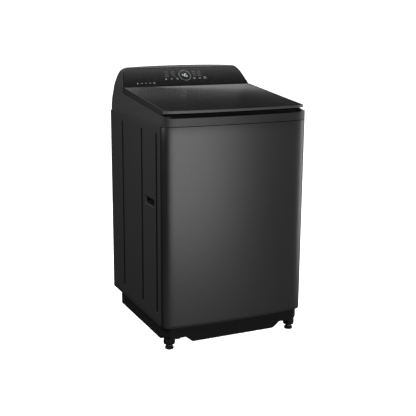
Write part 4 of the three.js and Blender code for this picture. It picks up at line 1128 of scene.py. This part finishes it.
def screw_head(x, z, y):
    """A low domed head with a cross cut in it, facing back."""
    dome = [(0.01, 0), (5.4, 0), (5.4, 0.5), (4.4, 1.1), (2.4, 1.45), (0.01, 1.5)]
    head = turned_y("head", [(r, y + up) for r, up in dome], x, z, 20)
    for long, tall in ((2.6, 0.5), (0.5, 2.6)):
        boolean(head, prism("cut", rect(x, z, long, tall, 0.2, 1), y + 0.5, y + 3, "y"))
    return head


def build_back_screws():
    """The screws round the edge of the back."""
    places = [(s * 290, z) for s in (-1, 1) for z in (136, 322, 508, 694, 880)]
    places += [(x, z) for x in (-180, 0, 180) for z in (118, 906)]
    heads = [screw_head(x, z, RIM_Y - 0.1) for x, z in places]
    finish_piece(join("back_panel_screws", heads), "cabinet", "zinc", "zinc_plate")


def build_cover_screws():
    """The four screws of the service cover, set on its sloping back."""
    heads = [screw_head(x, z, front(d)) for x in (-222, 222) for z, d in ((986, 619.9), (1042, 613.7))]
    finish_piece(join("service_cover_screws", heads), "cabinet", "zinc", "zinc_plate")


def build_lid_screws():
    """The screws that hold the lid's rim, seen on its underside."""
    places = [(side * 283, d) for side in (-1, 1) for d in (112, 205, 298, 391)]
    places += [(x, 469) for x in (-130, 0, 130)]
    dome = [(0.01, 0.6), (3.6, 0.6), (3.6, -0.3), (2.9, -0.9), (1.4, -1.1), (1.2, -0.5), (0.01, -0.4)]
    heads = [lathe("head", [(r, lid_under(d) + up) for r, up in dome], x, front(d), 16) for x, d in places]
    finish_piece(join("lid_screws", heads), "lid", "zinc", "zinc_plate")


def threaded(x, z, inner, outer, y0, y1):
    """A threaded spigot with a chamfered mouth."""
    pitch = 2.4
    profile = [(inner, y0), (outer, y0), (outer, y0 + 1.8)]
    y = y0 + 2.2
    while y < y1 - pitch:
        profile += [(outer - 1.3, y), (outer, y + pitch * 0.45), (outer, y + pitch * 0.62)]
        y += pitch
    profile += [(outer - 1.3, y1 - 0.8), (outer - 1.9, y1), (inner + 0.7, y1), (inner, y1 - 0.9)]
    return turned_y("spigot", profile, x, z)


def build_valve(x, z, name, node, colour):
    """A water valve: body, coil, threaded spigot with its strainer, and a coloured collar."""
    inside = 296.0
    body = prism("body", rect(x, inside - 17, 18, 17, 4, 4), z - 20, z + 22, edge=1.5)
    spool = [(0.01, -46), (11.6, -46), (13, -44.6), (13, -40), (12, -39.4), (12, -26), (13, -25.4), (13, -19),
             (0.01, -19)]
    coil = lathe("coil", [(r, z + up) for r, up in spool], x, inside - 18, 32)
    cone = [(0.01, 306), (2.0, 305.8), (7.4, 301), (9.05, 300.4), (9.05, 299), (0.01, 299)]
    strainer = turned_y("strainer", cone, x, z, 32)
    valve = join(name, [body, coil, strainer, threaded(x, z, 9, 13, inside - 1, 319)])
    finish_piece(valve, "cabinet", "pale", "grey_plastic", node)
    ring = [(13.2, 297.7), (18.2, 297.7), (18.6, 298.4), (18.6, 300.2), (17.8, 300.9), (13.8, 300.9),
            (13.2, 300.3)]
    finish_piece(turned_y(name + "_colour_ring", ring, x, z), "cabinet", colour, "grey_plastic")


# Profiles of the connections, as (radius, y).
SPIGOT = [(10, 282), (13, 282), (13, 292), (20, 292), (20, 296), (13, 296), (13, 308), (13.6, 309), (13, 310),
          (13, 311.6), (14.6, 314), (14.6, 315.2), (12.6, 318.4), (12, 319), (10.6, 319), (10, 318.2)]
FLANGE = [(13.3, 297.7), (24, 297.7), (24.6, 298.3), (24.6, 300.6), (23.8, 301.3), (16.4, 301.3),
          (14.6, 304.6), (13.3, 304.6)]
GROMMET = [(5, 292), (11, 292), (11, 297.5), (14, 297.8), (14, 300.4), (13.2, 301.4), (9.4, 301.6),
           (8.6, 302.5), (6.2, 302.5), (5, 301.6)]


def build_ports():
    """The drain's outlet with its flange, and the cord's grommet."""
    finish_piece(turned_y("drain_spigot", SPIGOT, *DRAIN), "cabinet", "grey", "grey_plastic", "drain_outlet")
    finish_piece(turned_y("drain_flange", FLANGE, *DRAIN), "cabinet", "black", "grey_plastic")
    finish_piece(turned_y("cord_grommet", GROMMET, *GLAND), "cabinet", "rubber", "rubber", "cord_gland")


# ---------------------------------------------------------------- drum and wash plate
DRUM = {"radius": 250.0, "low": 346.0, "high": 812.0, "across": 84, "up": 24, "hole": 2.7, "flutes": 28,
        "wave": 2.2}


def drum_point(turn, z):
    """A point of the fluted drum wall, with its turn counted in cells."""
    a = 2 * PI * turn / DRUM["across"]
    fade = ease((z - DRUM["low"]) / 34) * ease((DRUM["high"] - z) / 34)
    r = DRUM["radius"] - DRUM["wave"] * fade * (0.5 - 0.5 * math.cos(a * DRUM["flutes"]))
    return (r * math.cos(a), TUB_Y + r * math.sin(a), z)


def drum_cell(i, j):
    """One cell of the wall: eight sides round an eight-sided hole."""
    tall = (DRUM["high"] - DRUM["low"]) / DRUM["up"]
    wide = 2 * PI * DRUM["radius"] / DRUM["across"]
    turn, z = i + 0.5, DRUM["low"] + (j + 0.5) * tall
    rim = [(0.5, 0), (0.5, 0.5), (0, 0.5), (-0.5, 0.5), (-0.5, 0), (-0.5, -0.5), (0, -0.5), (0.5, -0.5)]
    verts = [drum_point(turn + u, z + v * tall) for u, v in rim]
    verts += [drum_point(turn + u / wide, z + v) for u, v in circle(DRUM["hole"], 8)]
    faces = [(k, (k + 1) % 8, (k + 1) % 8 + 8, k + 8) for k in range(8)]
    return verts, faces


def drum_band(profile):
    """A plain band of the drum turned with the same divisions as its cells."""
    rings = [[(x, y, z) for x, y in circle(r, DRUM["across"] * 2, 0, TUB_Y)] for r, z in profile]
    return loft(rings, False)


def build_drum():
    """The perforated steel basket with a dished bottom and a rolled top."""
    bottom = [(24, 284.8), (120, 284.8), (192, 284.8), (203, 286), (222, 292), (238, 299), (244, 305),
              (248, 313), (249.6, 322), (250, 332), (250, DRUM["low"])]
    top = [(250, DRUM["high"]), (250, 822), (250, 838)]
    cells = [drum_cell(i, j) for i in range(DRUM["across"]) for j in range(DRUM["up"])]
    drum = make("drum", *gather([drum_band(bottom), drum_band(top)] + cells), 50)
    tidy(drum, 50, 2e-5)
    outwards = sum(p.normal.x * p.center.x + p.normal.y * (p.center.y - TUB_Y * MM)
                   for p in drum.data.polygons)
    if outwards < 0:
        drum.data.flip_normals()
    tidy(thicken(drum, 1.3), 50)
    finish_piece(drum, "basket", "drum", "bright_steel", "basket")
    drum.name = "perforated_drum"


def build_rings():
    """The balance ring on the basket and the cover ring on the tub."""
    profile = [(228, 820.3), (247.4, 820.3), (247.4, 838.4), (252, 838.4), (252, 856), (247, 861), (243, 861),
               (242, 859), (234, 859), (233, 861), (228, 861), (222, 855), (222, 827)]
    ring = lathe("fluid_balance_ring", rounded_closed(profile, 1.6), 0, TUB_Y, 128, 50, closed=True)
    finish_piece(ring, "basket", "ring", "grey_plastic", "balance_ring")
    profile = [(218, 871), (221, 868.5), (274, 868.5), (274, 874), (262, 877), (246, 878.4), (236, 882.4),
               (230, 883.2), (219, 883.2)]
    cover = lathe("tub_cover_ring", rounded_closed(profile, 1.8), 0, TUB_Y, 128, 50, closed=True)
    finish_piece(cover, "tub", "ring", "grey_plastic", "tub_cover")


def along(points, at):
    """The height of a polyline at a distance, softened at its corners."""
    for (a, p), (b, q) in zip(points, points[1:]):
        if at <= b:
            return p + (q - p) * ease((at - a) / (b - a))
    return points[-1][1]


# The wash plate's dish and the crest of its tall ribs, as (radius, height); then where the ribs run.
PLATE_LINE = [(0, 341.6), (17, 341.6), (30, 335.6), (62, 318.4), (120, 305), (160, 303.4), (183, 306.4),
              (188.6, 303), (190, 297)]
RIB_LINE = [(17, 341), (40, 333), (64, 328), (118, 329), (150, 326.5), (172, 318), (184, 306)]
RIB_START, RIB_END, LOW_RIB = 18, 184, 7
PLATE_RADII = [0.01, 8, 17, 19, 22, 26, 30, 35, 41, 48, 55, 62, 70, 79, 88, 97, 106, 115, 124, 133, 142,
               150, 157, 163, 168, 172, 176, 180, 184, 186.5, 188.4, 189.4, 190]
PLATE_UNDER = ((190, 293.4), (188.6, 292.2), (0.01, 292.2))


def plate_height(r, a):
    """The height of the wash plate: a dish with four tall ribs and four low ones."""
    base = along(PLATE_LINE, r)
    if r < RIB_START or r > RIB_END:
        return base
    off_tall = r * abs(math.sin((a + PI / 4) % (PI / 2) - PI / 4))
    off_low = r * abs(math.sin(a % (PI / 2) - PI / 4))
    tall = max(along(RIB_LINE, r) - base, 0) * ease((17 - off_tall) / 10)
    low = LOW_RIB * ease((r - 60) / 30) * ease((176 - r) / 22) * ease((13 - off_low) / 9)
    return base + max(tall, low)


def build_wash_plate():
    """The pulsator as one moulded plate, and the bright cap at its middle."""
    count = 176
    rings = []
    for r in PLATE_RADII:
        points = circle(r, count, 0, TUB_Y)
        rings.append([(x, y, plate_height(r, 2 * PI * i / count)) for i, (x, y) in enumerate(points)])
    rings += [[(x, y, z) for x, y in circle(r, count, 0, TUB_Y)] for r, z in PLATE_UNDER]
    plate = make("wash_plate", *loft(rings), 55)
    finish_piece(plate, "agitator", "plate", "grey_plastic", "pulsator")
    dome = [(0.01, 350.9), (5, 350.7), (10, 349.9), (13, 348.8), (13.6, 348), (14.4, 348), (17, 346.4),
            (18.6, 344.2), (19, 342.5), (0.01, 342.5)]
    cap = lathe("wash_plate_cap", dome, 0, TUB_Y, 48)
    finish_piece(cap, "agitator", "steel", "bright_steel", "pulsator_cap")


def build_drawer():
    """The detergent tray: two bays, and a finger scoop in its front."""
    wall, face = 2.4, 4
    x0, x1, y0, y1 = -108.0, 28.0, front(MOUTH_REAR) + 0.4, front(482) - 1
    tray = prism("tray", span(x0, x1, y0, y1, 3, 4), 944, 984, edge=1.0)
    for a, b in ((x0 + wall, -26.0), (-26.0 + wall, x1 - wall)):
        boolean(tray, prism("bay", span(a, b, y0 + face, y1 - wall, 5, 5), 944 + wall, 1000, edge=2.0))
    boolean(tray, prism("scoop", arc(-40, 984, 19, PI, 2 * PI, 16), y0 - 5, y0 + 5, "y"))
    bevel(tray, 0.5, 50, 2)
    finish_piece(tray, "drawer", "pale", "pale_plastic", "dispenser_drawer")
    even_normals(tray).name = "detergent_tray"


# ---------------------------------------------------------------- springs and hose
def tube(name, points, radius, sides=10):
    """A skin round a path; radius is a number for each point."""
    rings = []
    up = Vector((0.02, 0.03, 1))
    for i, p in enumerate(points):
        a, b = Vector(points[max(i - 1, 0)]), Vector(points[min(i + 1, len(points) - 1)])
        d = (b - a).normalized()
        u = up - d * up.dot(d)
        u = u.normalized() if u.length > 0.05 else Vector((1, 0, 0))
        v = d.cross(u)
        up = u
        rings.append([tuple(Vector(p) + (u * c + v * s) * radius[i]) for c, s in circle(1, sides)])
    return make(name, *loft(rings), 60)


def blend_piece(obj, material, node):
    """Finishes a piece that stretches from the cabinet to the tub: its material, the CAD node it stands for,
    and its place baked into its mesh.
    """
    dress(obj, material)
    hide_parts(node)
    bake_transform(obj)


CORNERS = {"front_left": (-1, -1), "front_right": (1, -1), "rear_left": (-1, 1), "rear_right": (1, 1)}
SPRING = {"out": 238, "low": 270.4, "high": 326.6, "coils": 5, "steps": 24, "radius": 13.5, "wire": 2.3}


def build_spring(corner, sx, sy):
    """A closed-end compression spring that stretches between the rod and the tub's lug."""
    g = SPRING
    x, y, low, high = sx * g["out"], TUB_Y + sy * g["out"], g["low"], g["high"]
    points = []
    for i in range(g["coils"] * g["steps"] + 1):
        t = i / (g["coils"] * g["steps"])
        a = 2 * PI * g["coils"] * t
        rise = ease(t * 1.2 - 0.1) * 0.4 + t * 0.6
        z = low + (high - low) * rise
        points.append((x + g["radius"] * math.cos(a), y + g["radius"] * math.sin(a), z))
    spring = tube(f"spring_{corner}", points, [g["wire"]] * len(points), 8)
    blend_piece(spring, "steel", f"suspension_spring_{corner}")


# The drain hose's route, from the pump to the outlet.
HOSE = [(-150, -53, 162), (-150, 0, 162), (-210, 110, 142), (-262, 190, 182), (-292, 241, 282),
        (-294, 245, 400), (-294, 245, 740), (-284, 247, 830), (-248, 251, 859),
        (-236, 259, 862), (-236, 267, 862)]


def curve_through(points, gap):
    """Points every few millimetres on a smooth curve through some places."""
    out = []
    for i in range(len(points) - 1):
        a, b = Vector(points[max(i - 1, 0)]), Vector(points[i])
        c, d = Vector(points[i + 1]), Vector(points[min(i + 2, len(points) - 1)])
        n = max(2, round((c - b).length / gap))
        reach = (c - b).length / 3
        p1 = b + (c - a).normalized() * reach
        p2 = c - (d - b).normalized() * reach
        for k in range(n):
            t = k / n
            near = b * (1 - t) ** 3 + p1 * 3 * t * (1 - t) ** 2
            out.append(tuple(near + p2 * 3 * t * t * (1 - t) + c * t ** 3))
    return out + [points[-1]]


def build_hose():
    """The corrugated drain hose between the pump, which hangs on the tub, and the outlet."""
    points = curve_through(HOSE, 2.6)
    size = [11.9 if i % 2 else 10.7 for i in range(len(points))]
    size[:5] = size[-5:] = [11.6] * 5
    hose = tube("corrugated_drain_hose", points, size, 16)
    blend_piece(hose, "grey", "drain_hose")


build_back_panel()
build_back_screws()
build_cover_screws()
build_lid_screws()
build_valve(*COLD, "cold_inlet", "inlet_valve_cold", "blue")
build_valve(*HOT, "hot_inlet", "inlet_valve_hot", "red")
build_ports()
build_drum()
build_rings()
build_wash_plate()
build_drawer()
for corner, (sx, sy) in CORNERS.items():
    build_spring(corner, sx, sy)
build_hose()

# ---------------------------------------------------------------- carried-over nodes
LOOKS = {
    "board": ["control_board"],
    "grey": ["pressure_sensor", "lid_lock_bolt", "dispenser_housing", "drain_pump"],
    "steel": ["lid_hinge_pin_left", "lid_hinge_pin_right", "drive_shaft", "motor_pulley"],
    "rubber": ["lid_bumper_left", "lid_bumper_right", "drive_belt", "sump_hose"],
    "black": ["lid_lock"],
    "pale": ["tub", "pump_impeller"],
    "cast": ["basket_hub", "drive_pulley", "gearbox"],
    "zinc": ["motor"],
}
LOOKS["zinc"] += [f"corner_bracket_{corner}" for corner in CORNERS]
LOOKS["steel"] += [f"suspension_rod_{corner}" for corner in CORNERS]


def soften(node):
    """Smooth shading on a carried-over node, broken at its sharp edges by a modifier."""
    for poly in node.data.polygons:
        poly.use_smooth = True
    mod = node.modifiers.new("edges", "EDGE_SPLIT")
    mod.split_angle = math.radians(32)


for look, names in LOOKS.items():
    for name in names:
        soften(dress(NODES[name], look))

# ---------------------------------------------------------------- camera, light, floor
# The camera's place in metres, its angles in degrees and its lens in millimetres, solved for the photo.
CAMERA = (-1.5311, -3.3032, 1.3769)
PITCH, AZIMUTH, ROLL, LENS = 13.44, -25.09, 0.43, 73.93


def add_camera():
    """The camera at the photograph's viewing angle."""
    data = bpy.data.cameras.new("camera")
    data.lens, data.sensor_width = LENS, 36.0
    data.clip_end = 100
    camera = bpy.data.objects.new("camera", data)
    turn = (Matrix.Rotation(math.radians(AZIMUTH), 4, "Z")
            @ Matrix.Rotation(math.radians(90 - PITCH), 4, "X")
            @ Matrix.Rotation(math.radians(ROLL), 4, "Z"))
    camera.matrix_world = Matrix.Translation(CAMERA) @ turn
    bpy.context.scene.collection.objects.link(camera)
    bpy.context.scene.camera = camera


def softbox(name, place, target, size, radiance):
    """A soft rectangular light of a given brightness, itself out of the picture."""
    data = bpy.data.lights.new(name, "AREA")
    data.shape, data.size, data.size_y = "RECTANGLE", size[0], size[1]
    data.energy = radiance * PI * size[0] * size[1]
    light = bpy.data.objects.new(name, data)
    turn = (Vector(target) - Vector(place)).to_track_quat("-Z", "Y").to_matrix().to_4x4()
    light.matrix_world = Matrix.Translation(place) @ turn
    light.visible_camera = False
    bpy.context.scene.collection.objects.link(light)
    return light


def linked(light, names):
    """Keeps a light to some pieces only."""
    group = bpy.data.collections.new(light.name + "_receivers")
    for name in names:
        group.objects.link(bpy.data.objects[name])
    light.light_linking.receiver_collection = group


def add_floor():
    """A pale floor with a light of its own, so that it shows plain white without a shadow."""
    mesh = bpy.data.meshes.new("floor")
    reach = 40.0
    corners = [(-reach, -reach, 0), (reach, -reach, 0), (reach, reach, 0), (-reach, reach, 0)]
    mesh.from_pydata(corners, [], [(0, 1, 2, 3)])
    floor = bpy.data.objects.new("floor", mesh)
    bpy.context.scene.collection.objects.link(floor)
    material = bpy.data.materials.new("floor")
    nodes, links, shader = nodes_of(material)
    noise = nodes.new("ShaderNodeTexNoise")
    noise.inputs["Scale"].default_value = 3.0
    mix = nodes.new("ShaderNodeMix")
    mix.data_type = "RGBA"
    mix.inputs["A"].default_value = (0.86, 0.86, 0.86, 1)
    mix.inputs["B"].default_value = (0.9, 0.9, 0.9, 1)
    links.new(noise.outputs["Fac"], mix.inputs["Factor"])
    links.new(mix.outputs["Result"], shader.inputs["Base Color"])
    shader.inputs["Roughness"].default_value = 1.0
    shader.inputs["Specular IOR Level"].default_value = 0.0
    mesh.materials.append(material)
    floor.visible_glossy = floor.visible_diffuse = floor.visible_shadow = False
    only_floor = bpy.data.collections.new("floor_light_receivers")
    only_floor.objects.link(floor)
    data = bpy.data.lights.new("floor_light", "SUN")
    data.energy, data.angle = 5.2, math.radians(20)
    sun = bpy.data.objects.new("floor_light", data)
    bpy.context.scene.collection.objects.link(sun)
    sun.light_linking.receiver_collection = only_floor
    sun.light_linking.blocker_collection = only_floor


def add_world(strength):
    """White behind the object, and a dim even light all round it."""
    world = bpy.data.worlds.new("studio")
    bpy.context.scene.world = world
    world.use_nodes = True
    nodes, links = world.node_tree.nodes, world.node_tree.links
    seen = nodes["Background"]
    seen.inputs["Color"].default_value = (1, 1, 1, 1)
    seen.inputs["Strength"].default_value = 1.2
    dim = nodes.new("ShaderNodeBackground")
    dim.inputs["Color"].default_value = (1, 1, 1, 1)
    dim.inputs["Strength"].default_value = strength
    path = nodes.new("ShaderNodeLightPath")
    mix = nodes.new("ShaderNodeMixShader")
    links.new(path.outputs["Is Camera Ray"], mix.inputs["Fac"])
    links.new(dim.outputs["Background"], mix.inputs[1])
    links.new(seen.outputs["Background"], mix.inputs[2])
    links.new(mix.outputs["Shader"], nodes["World Output"].inputs["Surface"])


def around(azimuth, elevation, distance):
    """A place seen from the machine: azimuth 0 is in front, positive to the right."""
    a, e = math.radians(azimuth), math.radians(elevation)
    return (distance * math.cos(e) * math.sin(a), -distance * math.cos(e) * math.cos(a),
            MIDDLE[2] + distance * math.sin(e))


# The point that most lights aim at, and how far the lid's sheen is turned to follow the photo's.
MIDDLE, SHEEN_TURN = (0, 0, 0.6), -4.0
BACK_PIECES = ["pressed_back_panel", "back_panel_screws", "service_cover_screws", "cold_inlet", "hot_inlet",
               "cold_inlet_colour_ring", "hot_inlet_colour_ring", "drain_spigot", "drain_flange",
               "cord_grommet", "console_service_cover", "moulded_top_cover", "left_side_skin",
               "right_side_skin"]
INSIDE_PIECES = ["perforated_drum", "fluid_balance_ring", "tub_cover_ring", "wash_plate", "wash_plate_cap",
                 "detergent_tray", "dispenser_housing"]

add_camera()
add_floor()
add_world(0.02)
softbox("front_box", around(5.5, -1, 3.0), (0, 0, 0.5), (1.7, 1.7), 1.78)
softbox("top_box", (1.0, 0.43, 3.2), (1.0, 0.43, 0), (1.6, 0.86), 2.3)
softbox("left_box", around(-75, 42, 3.2), MIDDLE, (2.0, 2.0), 7.4)
softbox("right_box", around(74, 1, 2.6), MIDDLE, (1.3, 2.0), 2.2)
softbox("rear_box", around(180, 62, 3.4), (0, 0, 0.7), (1.6, 1.6), 3.0)
sheen = softbox("lid_sheen", (0.2, 0.172, 1.032), (0.2, -0.2, 1.032), (0.95, 0.036), 0.5)
linked(sheen, ["lid_pane"])
sheen.matrix_world = sheen.matrix_world @ Matrix.Rotation(math.radians(SHEEN_TURN), 4, "Z")
linked(softbox("floor_glow", (0, -0.85, 0.01), (0, -0.851, 1), (2.4, 1.0), 0.09), ["front_panel_skin"])
linked(softbox("back_box", around(166, 10, 3.0), MIDDLE, (1.8, 1.6), 3.4), BACK_PIECES)
linked(softbox("right_fill", around(104, 38, 3.2), MIDDLE, (2.0, 2.0), 6.5),
       ["right_side_skin", "right_handle_cup", "moulded_top_cover"])
linked(softbox("inside_box", (0, -0.15, 2.4), (0, -0.02, 0), (0.9, 0.9), 5.0), INSIDE_PIECES)
bpy.context.scene.view_settings.view_transform = "Standard"
